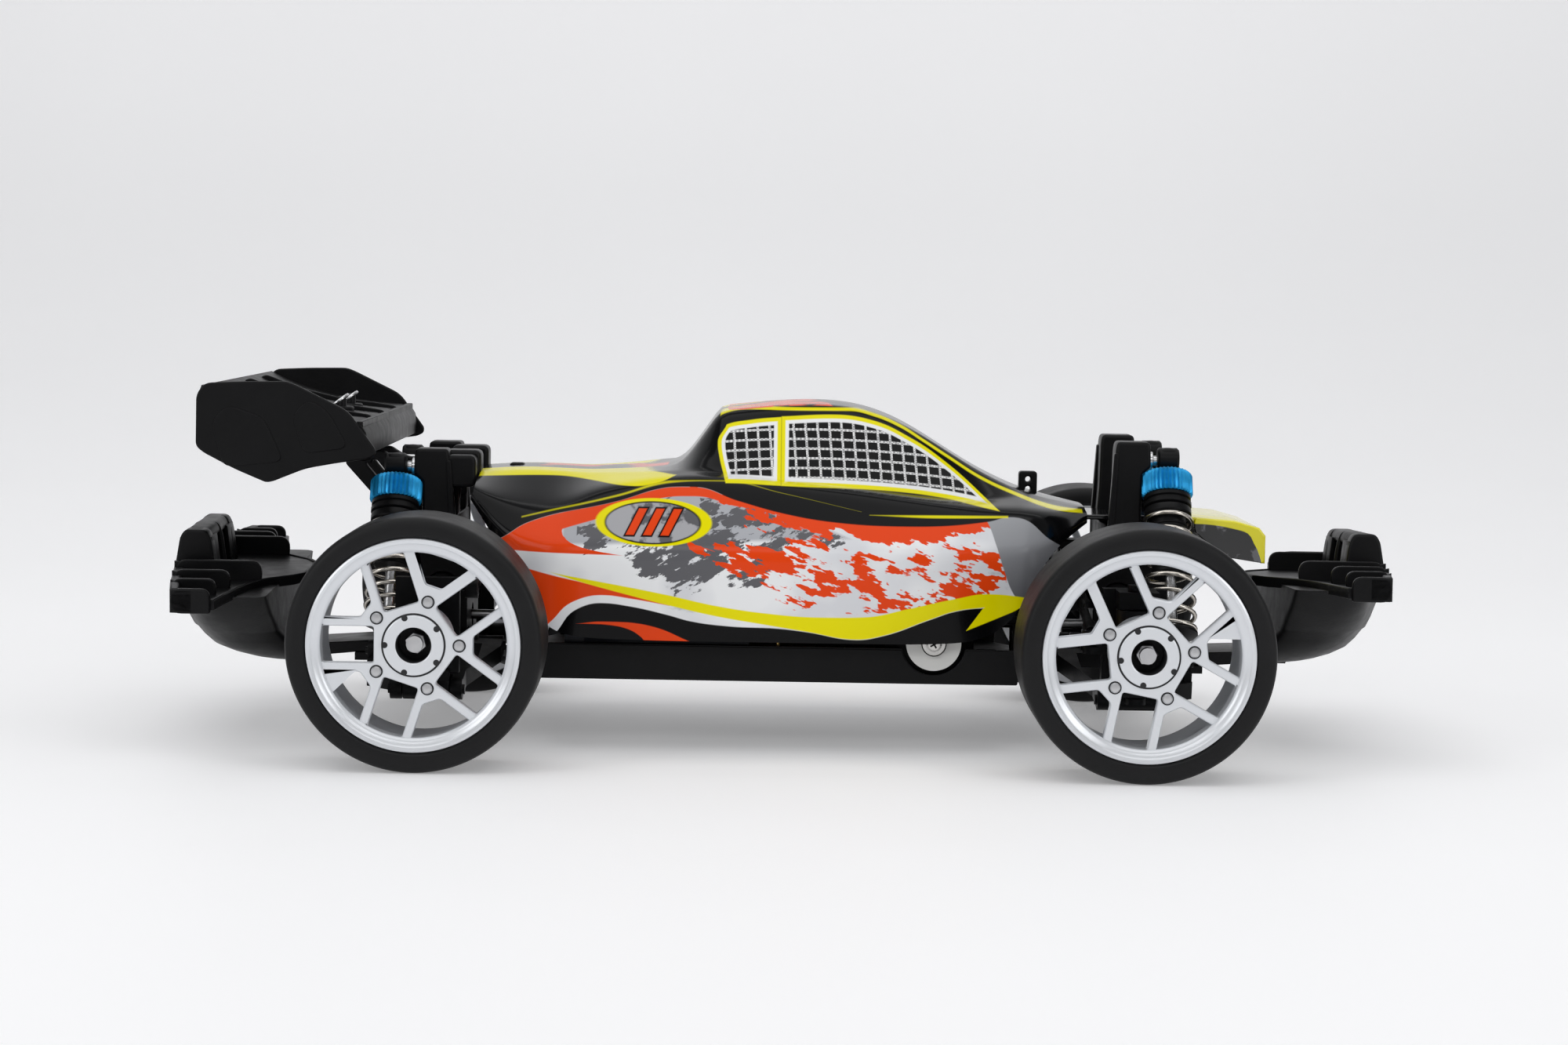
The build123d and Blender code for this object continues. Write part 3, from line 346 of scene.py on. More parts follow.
def rounded(corners, radius, steps=4):
    """A closed outline with its corners rounded by arcs of about that radius."""
    points = []
    count = len(corners)
    for k, corner in enumerate(corners):
        here = Vector(corner)
        back = Vector(corners[k - 1]) - here
        ahead = Vector(corners[(k + 1) % count]) - here
        reach = min(radius, back.length * 0.45, ahead.length * 0.45)
        first, last = here + back.normalized() * reach, here + ahead.normalized() * reach
        for step in range(steps + 1):
            t = step / steps
            points.append(first * (1 - t) ** 2 + here * 2 * t * (1 - t) + last * t**2)
    return [tuple(point) for point in points]


def plate(outlines, thick, bevel, across):
    """Flat outlines (the first one solid, the others holes) as a plate with rounded edges.

    across is a matrix that takes the outline's plane into the car. Everything is in metres.
    """
    curve = bpy.data.curves.new("plate", "CURVE")
    curve.dimensions = "2D"
    curve.fill_mode = "BOTH"
    curve.extrude = max(thick / 2 - bevel, 0.00005)
    curve.bevel_depth = bevel
    curve.bevel_resolution = 2
    curve.offset = -bevel
    for outline in outlines:
        spline = curve.splines.new("POLY")
        spline.points.add(len(outline) - 1)
        for point, (x, y) in zip(spline.points, outline):
            point.co = (x, y, 0, 1)
        spline.use_cyclic_u = True
    mesh = baked(new_object("plate", curve), "plate")
    bpy.data.curves.remove(curve)
    mesh.transform(across)
    if across.determinant() < 0:
        mesh.flip_normals()
    return mesh


def side_plate(outline, y0, y1, bevel, holes=()):
    """A plate that stands in the X-Z plane between y0 and y1. All in millimetres."""
    across = Matrix(((1, 0, 0, 0), (0, 0, 1, (y0 + y1) / 2 * MM), (0, 1, 0, 0), (0, 0, 0, 1)))
    shapes = [[(x * MM, z * MM) for x, z in shape] for shape in (outline, *holes)]
    return plate(shapes, abs(y1 - y0) * MM, bevel * MM, across)


def floor_plate(outline, z0, z1, bevel, holes=()):
    """A plate that lies in the X-Y plane between z0 and z1. All in millimetres."""
    across = Matrix.Translation((0, 0, (z0 + z1) / 2 * MM))
    shapes = [[(x * MM, y * MM) for x, y in shape] for shape in (outline, *holes)]
    return plate(shapes, (z1 - z0) * MM, bevel * MM, across)


def tube(points, radius, closed=False, sides=3):
    """A round wire along points, in metres."""
    curve = bpy.data.curves.new("tube", "CURVE")
    curve.dimensions = "3D"
    curve.bevel_depth = radius
    curve.bevel_resolution = sides
    curve.use_fill_caps = not closed
    spline = curve.splines.new("POLY")
    spline.points.add(len(points) - 1)
    for point, place in zip(spline.points, points):
        point.co = (*place, 1)
    spline.use_cyclic_u = closed
    mesh = baked(new_object("tube", curve), "tube")
    bpy.data.curves.remove(curve)
    return mesh


def dress(nodes, material, bevel=0.0):
    """Gives carried-over nodes their finish, and softens their edges."""
    for name in nodes:
        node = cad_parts[name]
        for index in range(len(node.material_slots)):
            node.material_slots[index].material = material
        if bevel:
            weld = node.modifiers.new("weld", "WELD")
            weld.merge_threshold = 0.00001
            edge = node.modifiers.new("edge", "BEVEL")
            edge.width = bevel
            edge.segments = 2
            edge.limit_method = "ANGLE"
            edge.angle_limit = math.radians(40)
            edge.harden_normals = False


# Body shell --------------------------------------------------------------------------------
# One row a station, in mm: x, then (y, z) of hem, side crease, belt, cabin foot and roof edge, then the
# middle's z
STATIONS = (
    (-79.2, (33.0, 62.8), (33.6, 63.8), (32.0, 65.2), (15.0, 67.8), (10.0, 68.3), 68.5),
    (-69.4, (40.0, 48.8), (41.6, 53.2), (37.0, 60.8), (16.0, 68.6), (10.0, 69.1), 69.2),
    (-60.4, (46.8, 31.4), (47.2, 51.9), (38.6, 59.6), (16.8, 68.6), (10.0, 69.0), 69.1),
    (-52.5, (48.0, 29.6), (48.6, 51.5), (39.4, 62.6), (18.0, 68.2), (10.0, 68.6), 68.7),
    (-46.4, (47.6, 29.0), (49.0, 51.3), (40.0, 65.8), (20.0, 68.4), (11.0, 68.7), 68.8),
    (-26.5, (47.6, 28.8), (49.8, 51.3), (40.0, 69.0), (31.0, 70.0), (17.0, 70.0), 70.1),
    (-16.0, (47.6, 28.8), (50.0, 51.3), (40.0, 68.6), (33.0, 70.0), (20.0, 85.0), 85.2),
    (1.6, (47.6, 28.8), (50.0, 51.3), (40.0, 67.0), (33.6, 68.4), (20.0, 87.0), 87.8),
    (17.0, (47.6, 28.8), (50.0, 51.3), (40.0, 65.6), (33.4, 67.0), (20.0, 87.1), 88.0),
    (30.0, (47.4, 28.8), (49.6, 51.5), (40.0, 64.2), (32.0, 65.4), (19.4, 83.2), 84.0),
    (43.0, (46.6, 29.0), (48.6, 51.9), (39.6, 62.8), (30.0, 63.9), (18.6, 75.2), 75.4),
    (52.2, (45.2, 30.1), (47.0, 52.3), (38.6, 62.0), (27.0, 63.4), (17.4, 69.6), 69.8),
    (60.4, (43.6, 36.6), (45.0, 52.8), (37.0, 61.6), (22.0, 64.2), (15.0, 66.0), 66.2),
    (62.2, (43.0, 43.0), (44.4, 53.0), (36.4, 61.6), (21.0, 64.0), (14.4, 65.3), 65.5),
    (69.0, (37.0, 53.4), (38.4, 54.4), (33.0, 61.2), (17.0, 62.6), (12.0, 63.1), 63.3),
    (79.6, (12.4, 57.8), (12.8, 58.4), (12.6, 60.0), (9.0, 60.8), (6.0, 61.0), 61.1),
)
LINE_CREASES = (1.0, 0.82, 0.35, 0.55, 0.72)  # hem, side crease, belt, cabin foot, roof edge


def shell_mesh(wall):
    """The formed shell: the stations' grid, subdivided between creased lines, then given its thickness."""
    points, faces, creases = [], [], []
    for x, *half, middle in STATIONS:
        row = half + [(0.0, middle)] + [(-y, z) for y, z in reversed(half)]
        points += [(x * MM, y * MM, z * MM) for y, z in row]
    across = 2 * len(LINE_CREASES) + 1
    for row in range(len(STATIONS) - 1):
        for column in range(across - 1):
            first = row * across + column
            faces.append((first, first + 1, first + across + 1, first + across))
    mesh = new_mesh("shell", points, faces)
    held = {}
    for column in range(across):
        line = min(column, across - 1 - column)
        if line < len(LINE_CREASES):
            for row in range(len(STATIONS) - 1):
                held[(row * across + column, (row + 1) * across + column)] = LINE_CREASES[line]
    pillars = {5: 0.35, 6: 0.75}
    for row in (0, 5, 6, len(STATIONS) - 1):
        for column in range(across - 1):
            inner = min(column, across - 2 - column) >= 3
            value = 1.0 if row not in pillars else pillars[row] if inner else 0.0
            held[(row * across + column, row * across + column + 1)] = value
    for edge in mesh.edges:
        key = tuple(sorted(edge.vertices))
        creases.append(held.get(key, 0.0))
    mesh.attributes.new("crease_edge", "FLOAT", "EDGE").data.foreach_set("value", creases)
    made = new_object("shell", mesh)
    smooth = made.modifiers.new("smooth", "SUBSURF")
    smooth.levels = smooth.render_levels = 3
    skin = made.modifiers.new("skin", "SOLIDIFY")
    skin.thickness = wall
    skin.offset = 1.0
    skin.use_even_offset = False
    return baked(made, "body_shell")


def drilled(mesh, holes):
    """The mesh with upright round holes at (x, y, radius, z0, z1), in mm."""
    made = new_object("drilled", mesh)
    drills = []
    for x, y, radius, z0, z1 in holes:
        bit = spindle([(radius, 0), (radius, z1 - z0)], (x, y, z0), (x, y, z1))
        drill = new_object("drill", bit)
        cut = made.modifiers.new("hole", "BOOLEAN")
        cut.object = drill
        cut.solver = "EXACT"
        drills.append(drill)
    result = baked(made, mesh.name)
    for drill in drills:
        bpy.data.objects.remove(drill)
    return result


class Livery(Paint):
    """The shell's paint: bands between curved lines, laid one over the other, in mm along x and z."""

    X_LOW, X_SPAN, Z_SPAN = -90.0, 220.0, 100.0

    def __init__(self, name):
        super().__init__(name, 0.16)
        split = self.node("SeparateXYZ")
        self.put(split.inputs[0], self.node("TexCoord").outputs["Object"])
        self.x = self.times(split.outputs[0], 1000.0)
        self.y = self.times(self.size(split.outputs[1]), 1000.0)
        self.z = self.times(split.outputs[2], 1000.0)
        shifted = self.less(self.x, self.X_LOW)
        self.u = self.maths("DIVIDE", shifted, self.X_SPAN)
        self.v = self.maths("DIVIDE", self.z, self.Z_SPAN)
        self.wander = self.less(self.noise(0.009, 3), 0.5)

    def curve(self, socket, points, soft):
        made = self.node("FloatCurve")
        line = made.mapping.curves[0]
        while len(line.points) < len(points):
            line.points.new(0.5, 0.5)
        for point, place in zip(line.points, sorted(points)):
            point.location = place
            point.handle_type = "AUTO_CLAMPED" if soft else "VECTOR"
        made.mapping.update()
        self.put(made.inputs["Value"], socket)
        return made.outputs[0]

    def height(self, *points, soft=True):
        """z of a line at this x, in mm."""
        if len(points) == 1:
            return points[0][1]
        scaled = [((x - self.X_LOW) / self.X_SPAN, z / self.Z_SPAN) for x, z in points]
        return self.times(self.curve(self.u, scaled, soft), self.Z_SPAN)

    def station(self, *points, soft=True):
        """x of a line at this z, in mm."""
        scaled = [(z / self.Z_SPAN, (x - self.X_LOW) / self.X_SPAN) for x, z in points]
        reached = self.times(self.curve(self.v, scaled, soft), self.X_SPAN)
        return self.plus(reached, self.X_LOW)

    def least(self, *values):
        result = values[0]
        for value in values[1:]:
            result = self.maths("MINIMUM", result, value)
        return result

    def band(self, upper, lower, x0=-200.0, x1=200.0, soft=True):
        """Depth inside the area between two lines and two stations, in mm; below 0 outside."""
        top = self.less(self.height(*upper, soft=soft), self.z)
        low = self.less(self.z, self.height(*lower, soft=soft))
        sides = [self.less(self.x, x0), self.less(x1, self.x)]
        return self.least(top, low, *sides)

    def oval(self, x, z, half_x, half_z):
        """Depth inside an oval, roughly in mm."""
        across = self.maths("POWER", self.maths("DIVIDE", self.less(self.x, x), half_x), 2.0)
        up = self.maths("POWER", self.maths("DIVIDE", self.less(self.z, z), half_z), 2.0)
        return self.times(self.less(1.0, self.maths("SQRT", self.plus(across, up))), half_z)

    def coat(self, under, depth, over, edge=0.25):
        """Paint over where depth is above 0, with a thin soft edge."""
        share = self.node("Math", operation="MULTIPLY", use_clamp=True)
        self.put(share.inputs[0], depth)
        share.inputs[1].default_value = 1 / edge
        return self.mix(share.outputs[0], under, over)

    def strokes(self, size, stretch, turn, detail, bias):
        """Brush strokes: above 0 inside them. bias shifts how much they cover."""
        where = self.place((1.0, 1.0, stretch), (0, math.radians(turn), 0))
        rough = self.less(self.noise(size, detail, 0.62, where), 0.5)
        return self.plus(self.times(rough, 12.0), bias)


# Lines of the side as (x, z), in mm: the upper and the lower edge of its coloured field
CREST = (
    (-70, 54.4), (-64.5, 57.7), (-41.7, 63.6), (-29, 67.2), (-22.7, 67.4), (-11.4, 64.2), (0.5, 61.2)
)
CREST += ((13, 59.3), (32, 58.5), (52.2, 59.8), (58, 60.9), (69, 54.9))
SKIRT = (
    (-56.4, 30.6), (-51.5, 36.3), (-45.2, 38), (-37.7, 37.2), (-28.8, 35.3), (-22.6, 33.7), (-13.1, 32.6)
)
SKIRT += (
    (-0.7, 32.2), (6.7, 31.4), (19.1, 29.6), (25.4, 30.6), (37.9, 35.1), (44.2, 37.2), (51.3, 38.0),
    (70, 38.0)
)
WHITE = (0.86, 0.87, 0.88, 1.0)


def side_greys(paint, colours):
    """Greys and dark dashes of the side, under its orange."""
    pale, mid, dark = rgb(colours.pale), rgb(colours.mid_grey), rgb(colours.dark_grey)
    side = paint.mix(paint.ramp(paint.noise(0.02, 2), 0.42, 0.6), WHITE, pale)
    cool = paint.strokes(0.016, 2.2, 12, 5, -1.4)
    side = paint.coat(side, cool, mid, 1.2)
    near_roundel = paint.band(
        ((-70, 66), (-30, 68), (2, 61), (14, 57), (22, 53)),
        ((-60, 52), (-44, 49), (-28, 41), (-16, 38), (4, 50), (22, 56)), -56, 20
    )
    grey_share = paint.least(paint.times(near_roundel, 0.35), 1.0)
    side = paint.coat(
        side, paint.least(near_roundel, paint.band(((-60, 66), (20, 66)), ((-60, 52), (20, 55)))), mid, 1.0
    )
    dashes = paint.strokes(0.009, 2.4, -24, 5, paint.less(paint.times(grey_share, 1.6), 1.75))
    patch = paint.band(
        ((-34, 53.5), (-24, 54.0), (-13, 50.0)), ((-34, 46.5), (-24, 43.2), (-13, 46.0)), -34, -13
    )
    second = paint.band(((-22, 64.8), (-8, 63.0), (3, 60.2)), ((-22, 60.0), (-8, 56.6), (3, 57.0)), -21, 3)
    blot = paint.plus(paint.times(paint.least(paint.most(patch, second), 2.0), 0.9), -0.9)
    dashes = paint.most(dashes, paint.plus(blot, paint.strokes(0.007, 2.4, -24, 5, 0.1)))
    dashes = paint.least(dashes, paint.band(((-60, 70), (30, 70)), ((-60, 38), (30, 38)), -52, 16))
    side = paint.coat(side, dashes, dark, 0.3)
    return side


def orange_strokes(paint, side, orange):
    """Strokes along the crest, and a sweep of them from the middle down to the nose."""
    top_run = ((-14, 1.4), (2, 3.2), (24, 3.8), (42, 2.8), (52, 1.4))
    top_depth = paint.less(paint.height(*CREST), paint.z)
    top_share = paint.less(paint.height(*top_run), top_depth)
    sweep = ((-22, 53.5), (-8, 48.5), (10, 44.5), (24, 40.5), (36, 37.6), (46, 42.0), (54, 47.0))
    spread = ((-22, 0.4), (-8, 3.0), (8, 5.2), (24, 5.6), (36, 3.6), (50, 4.2), (56, 3.0))
    off = paint.size(paint.less(paint.z, paint.height(*sweep)))
    sweep_share = paint.less(paint.height(*spread), off)
    middle = paint.band(((-12, 55), (56, 55)), ((-12, 49), (56, 43)), -12, 55)
    middle_share = paint.less(paint.times(paint.least(middle, 2.0), 0.4), 0.95)
    swept = paint.most(paint.least(paint.times(sweep_share, 0.4), 0.75), middle_share)
    share = paint.most(paint.times(top_share, 0.8), swept)
    streaks = paint.strokes(0.0075, 2.8, 18, 3, paint.least(share, 2.4))
    streaks = paint.least(
        streaks, paint.band(((-30, 80), (60, 80)), ((-30, 36), (24, 36.4), (60, 41)), -24, 57)
    )
    side = paint.coat(side, streaks, orange, 0.3)
    return side


def tail_orange(paint, side, orange):
    """Orange cap with a curved edge at the tail, white band, and orange below."""
    top_depth = paint.less(paint.height(*CREST), paint.z)
    blob = paint.station(
        (-41, 50.4), (-50, 52), (-54.5, 54), (-55.5, 55.6), (-54, 58), (-50, 60.2), (-43, 61.8), (-30, 64.6),
        (-24, 65.4), (-12, 66)
    )
    edge = paint.less(paint.less(blob, paint.x), paint.times(paint.wander, 3.0))
    cap = paint.least(edge, paint.band(CREST, ((-80, 50.6), (-41, 50.2), (-30, 50)), -80, -8))
    rim_run = ((-72, 6), (-46, 3.4), (-30, 2.6), (-20, 2.4), (-10, 1.4), (-4, 0.0))
    ridge = paint.least(
        paint.less(paint.height(*rim_run), top_depth), paint.band(CREST, ((-80, 40), (0, 40)), -80, -3)
    )
    side = paint.coat(side, paint.most(cap, ridge), orange)
    under = paint.band(
        ((-75, 48.4), (-68.9, 47.3), (-58, 45.0), (-37, 40.6), (-28, 37.9)),
        ((-58, 33.0), (-52, 38.4), (-45, 40.0), (-37.7, 39.2), (-28, 37.6)), -80, -28
    )
    side = paint.coat(side, under, orange)
    return side


def nose_silver(paint, side):
    """Silver at the side's front end, going darker toward the wheel."""
    front_edge = paint.station((51, 61), (52, 59.5), (54, 54), (56, 48), (58.5, 42), (60, 40))
    corner = paint.less(paint.x, front_edge)
    fade = paint.ramp(
        paint.less(paint.times(paint.less(70.0, paint.z), 0.6), paint.times(paint.x, -0.25)), 18.0, 34.0
    )
    side = paint.coat(side, corner, paint.mix(fade, (0.36, 0.37, 0.39, 1.0), (0.10, 0.10, 0.11, 1.0)))
    return side


def roundel(paint, side, colours):
    """Oval with a lime ring and three slanted bars."""
    black, lime, orange = rgb(colours.shell_black), rgb(colours.lime), rgb(colours.orange)
    dark = rgb(colours.dark_grey)
    side = paint.coat(side, paint.oval(-32.5, 58.5, 15.0, 6.0), lime)
    side = paint.coat(side, paint.oval(-32.7, 58.4, 12.5, 5.35), black)
    ground = paint.mix(paint.ramp(paint.noise(0.006, 4), 0.5, 0.56), (0.40, 0.40, 0.42, 1.0), dark)
    side = paint.coat(side, paint.oval(-32.7, 58.4, 12.1, 5.0), ground)
    lean = paint.less(paint.less(paint.x, -32.5), paint.times(paint.less(paint.z, 58.5), 0.5))
    for centre in (-4.4, 0.0, 4.4):
        reach = paint.size(paint.less(lean, centre))
        bar = paint.least(
            paint.less(1.6, reach), paint.band(((-60, 62.4), (0, 62.4)), ((-60, 54.8), (0, 54.8)))
        )
        side = paint.coat(side, bar, black)
        side = paint.coat(side, paint.less(bar, 0.45), orange)
    return side


def side_lines(paint, body, colours):
    """Lime swoosh with its barb, flame, and the thin lime lines above the side."""
    lime, orange = rgb(colours.lime), rgb(colours.orange)
    swoosh_top = (
        (-58.3, 45.7), (-41.4, 42.9), (-28.8, 40.6), (-16.3, 38), (-3.7, 36.3), (9.9, 35.5), (22.2, 35.8)
    )
    swoosh_top += ((31.7, 37.9), (44.2, 40.7), (52, 41.9), (60, 41.2), (64, 40.4))
    swoosh_low = (
        (-58.3, 45.5), (-54, 44.2), (-37.1, 39.8), (-28.8, 37.8), (-16.3, 35.1), (-3.7, 33.1), (6.7, 31.5)
    )
    swoosh_low += ((19.1, 29.7), (25.4, 30.7), (37.9, 35.2), (44.2, 37.3), (51.3, 38.2), (64, 39.0))
    body = paint.coat(body, paint.band(swoosh_top, swoosh_low, -58.3, 62), lime)
    barb = paint.band(
        ((46.8, 32.4), (51.3, 38.6), (56, 40.4), (62, 40.4)), ((46.8, 32.2), (59.2, 37.2), (63, 39.5)), 46.8,
        63, soft=False
    )
    body = paint.coat(body, barb, lime)
    flame = paint.band(
        ((-51.7, 32.8), (-45.2, 33.5), (-38.3, 33.4), (-31.4, 32.2), (-23.5, 29.0)),
        ((-51.7, 32.7), (-45, 32.6), (-38.9, 31.6), (-35.1, 29.4), (-34, 28)), -51.7, -22
    )
    body = paint.coat(body, flame, orange)
    slant = paint.band(
        ((-66.4, 59.1), (-41.8, 65.2), (-29.1, 68.8), (-15.2, 69.1), (0, 66.2), (20, 61.9)),
        ((-66.4, 58.5), (-41.8, 64.4), (-29.1, 67.9), (-15.2, 68.6), (0, 65.9), (20, 61.7)), -66.4, 20
    )
    body = paint.coat(body, slant, lime, 0.5)
    edge_line = paint.band(
        ((21.9, 61.2), (40, 61.3), (57.6, 61.2)), ((21.9, 60.9), (40, 60.3), (57.6, 60.4)), 21.9, 57.6
    )
    body = paint.coat(body, edge_line, lime, 0.4)
    return body


def deck_and_roof(paint, body, colours):
    """Lime and orange areas of the rear deck, the roof's edge lines and its marks."""
    lime, orange = rgb(colours.lime), rgb(colours.orange)
    deck = paint.band(
        ((-79, 70.4), (-60, 70.4), (-45, 70.4), (-34, 70.4), (-27, 70.0)),
        ((-79, 67.7), (-60, 68.2), (-48, 67.5), (-38, 67.0), (-32, 67.9), (-27, 69.9)), -79, -27
    )
    body = paint.coat(body, paint.least(deck, paint.less(paint.y, 9.0)), lime)
    flat = paint.least(
        paint.less(8.4, paint.y), paint.band(((-79, 72), (-28, 72)), ((-79, 66), (-28, 66)), -72, -30)
    )
    body = paint.coat(body, paint.least(flat, paint.strokes(0.022, 1.5, 8, 3, 0.4)), orange)
    roof = (
        (-18, 83.0), (-15.6, 86.0), (-5.8, 87.3), (1.6, 87.2), (17, 87.3), (23.5, 86.0), (30, 83.4),
        (36.5, 79.5), (43, 75.4), (52.2, 69.8), (60.4, 66.2), (69, 63.3), (79.6, 61.2)
    )
    line = paint.band(roof, tuple((x, z - 1.1) for x, z in roof), -16.5, 79)
    body = paint.coat(body, paint.least(line, paint.less(paint.y, 5.0)), lime, 0.3)
    up = paint.node("SeparateXYZ")
    paint.put(up.inputs[0], paint.node("NewGeometry").outputs["Normal"])
    roof_top = paint.least(
        paint.less(up.outputs[2], 0.94), paint.less(paint.z, 86.0), paint.less(13.0, paint.x)
    )
    marks = paint.strokes(0.02, 1.0, 0, 3, 0.6)
    body = paint.coat(body, paint.least(paint.times(roof_top, 10.0), marks), orange)
    return body


def windows(paint, body, colours, net_pitch):
    """Lime frame, white border, and white net over black."""
    black, lime = rgb(colours.shell_black), rgb(colours.lime)
    small = paint.least(
        paint.band(
            ((-17.5, 79.4), (-15.2, 82.3), (-8, 83.9), (-0.4, 84.7)),
            ((-17.5, 68.0), (-13.9, 68.2), (-0.4, 67.7)), -40, -0.4
        ),
        paint.less(paint.x, paint.station((-14.6, 68), (-16.4, 74), (-17.0, 78), (-15.0, 82), (-14, 84))),
    )
    large = paint.band(
        ((-1, 84.8), (13.3, 85.5), (23, 84.2), (32.7, 80.0), (42.3, 73.7), (55.5, 62.2)),
        ((-1, 67.7), (26.2, 66.5), (39.1, 65.1), (55.5, 62.0)), -0.6, 55.5
    )
    row_pitch = net_pitch * 2.4 / 3.1
    tilt = paint.times(paint.less(paint.z, 76.0), 0.08)
    sag = paint.times(paint.maths("POWER", paint.times(paint.less(paint.x, 8.0), 0.05), 2.0), -0.75)
    pitch = paint.maths("FRACT", paint.maths("DIVIDE", paint.plus(paint.x, tilt), net_pitch))
    drop = paint.maths("FRACT", paint.maths("DIVIDE", paint.less(paint.z, sag), row_pitch))
    cell = paint.least(
        paint.less(0.42, paint.size(paint.less(pitch, 0.5))),
        paint.less(0.40, paint.size(paint.less(drop, 0.5))),
    )
    knots = paint.node("TexChecker")
    knots.inputs["Scale"].default_value = 1900.0
    paint.put(knots.inputs["Vector"], paint.place())
    string = paint.mix(knots.outputs[1], (0.80, 0.80, 0.80, 1.0), (0.35, 0.35, 0.36, 1.0))
    net = paint.coat(string, cell, black, 0.04)
    window = paint.most(small, large)
    body = paint.coat(body, window, lime)
    body = paint.coat(body, paint.less(window, 1.0), WHITE)
    body = paint.coat(body, paint.less(window, 1.9), net)
    return body


def shell_paint(colours, net_pitch):
    """The shell's coats, one over the other; net_pitch in mm."""
    paint = Livery("shell_paint")
    orange = rgb(colours.orange)
    side = side_greys(paint, colours)
    side = orange_strokes(paint, side, orange)
    side = tail_orange(paint, side, orange)
    side = nose_silver(paint, side)
    side = roundel(paint, side, colours)
    body = paint.coat(rgb(colours.shell_black), paint.band(CREST, SKIRT, -75, 75), side)
    body = side_lines(paint, body, colours)
    body = deck_and_roof(paint, body, colours)
    body = windows(paint, body, colours, net_pitch)
    paint.colour(body)
    paint.rough(paint.between(paint.noise(0.03, 4), 0.10, 0.24))
    paint.shader.inputs["Specular IOR Level"].default_value = 0.11
    paint.shader.inputs["Coat Weight"].default_value = 0.05
    paint.shader.inputs["Coat Roughness"].default_value = 0.05
    paint.bump(paint.noise(0.012, 2), 0.00012, 0.35)
    return paint.material


def nose_paint(colours):
    """Yellow above, dark with a grey edge on the cheeks."""
    paint = Livery("nose_paint")
    skin = paint.mix(
        paint.ramp(paint.noise(0.006, 4), 0.5, 0.55), rgb(colours.shell_black), rgb(colours.dark_grey)
    )
    line = ((100, 58.3), (107.3, 58.4), (118, 57.2), (121.6, 56.0), (122.8, 54), (124, 52), (127, 40))
    above = paint.less(paint.z, paint.height(*line))
    bonnet = paint.less(106.5, paint.x)
    body = paint.coat(skin, above, rgb(colours.lime))
    paint.colour(paint.coat(body, bonnet, rgb(colours.shell_black)))
    paint.rough(paint.between(paint.noise(0.02, 4), 0.12, 0.26))
    paint.shader.inputs["Coat Weight"].default_value = 0.5
    paint.bump(paint.noise(0.01, 2), 0.0001, 0.3)
    return paint.material


class CAR_OT_shell(bpy.types.Operator):
    """Build the painted shell and its nose"""

    bl_idname = "model_car.shell"
    bl_label = "Body shell"

    def execute(self, context):
        sizes, colours = context.scene.car_sizes, context.scene.car_colours
        mesh = drilled(shell_mesh(sizes.shell_wall), [(65.5, 0, 2.6, 55, 75), (-70.4, 0, 2.2, 55, 75)])
        shell = piece("body_shell_skin", mesh, shell_paint(colours, sizes.net_pitch / MM), 40)
        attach(shell, "shell")
        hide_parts("body_shell")

        top = [
            (106.0, 60.2), (107.4, 60.2), (118, 59.4), (124.6, 57.6), (126.2, 55.6), (126.2, 48.4),
            (125.2, 48.4)
        ]
        low = [(125.2, 55.0), (123.8, 56.6), (117.6, 58.4), (107.4, 59.2), (106.0, 59.2)]
        cover = side_plate(top + low, -20.6, 20.6, 0.25)
        cheek = rounded(
            [
                (107.4, 60.1), (118, 59.3), (124.5, 57.5), (126.1, 55.5), (126.1, 48.4), (115, 50.0),
                (107.4, 56.5)
            ],
            1.2
        )
        cheeks = [side_plate(cheek, s * 20.0, s * 21.2, 0.3) for s in (-1, 1)]
        bonnet = [(76.0, -12.3), (110, -12.3), (110, 12.3), (76.0, 12.3)]
        bridge = floor_plate(rounded(bonnet, 1.5), 58.5, 59.8, 0.3)
        nose = piece("body_nose", joined("body_nose", [cover, *cheeks, bridge]), nose_paint(colours), 40)
        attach(nose, "shell")
        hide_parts("body_shell")
        return {"FINISHED"}


# Wheels ------------------------------------------------------------------------------------
def rim_window(turn, small):
    """One window of the rim's face, drawn about the wheel's middle, in mm."""
    large_half, spoke, hub, small_in, reach = 4.4, 2.2, 9.0, 14.3, 22.6
    if small:
        edge = large_half + spoke
        sine, cosine = math.sin(math.radians(36)), math.cos(math.radians(36))
        half_in = (small_in * sine - edge) / cosine
        half_out = (reach * sine - edge) / cosine
        corners = [
            (small_in, -half_in), (reach, -half_out), (reach * 1.008, 0), (reach, half_out),
            (small_in, half_in)
        ]
    else:
        out = math.sqrt(reach**2 - large_half**2)
        corners = [
            (hub + 0.6, -large_half), (out, -large_half), (reach, 0), (out, large_half),
            (hub + 0.6, large_half)
        ]
    shape = rounded(corners, 0.7, 3)
    c, s = math.cos(math.radians(turn)), math.sin(math.radians(turn))
    return [(x * c - z * s, x * s + z * c) for x, z in shape]


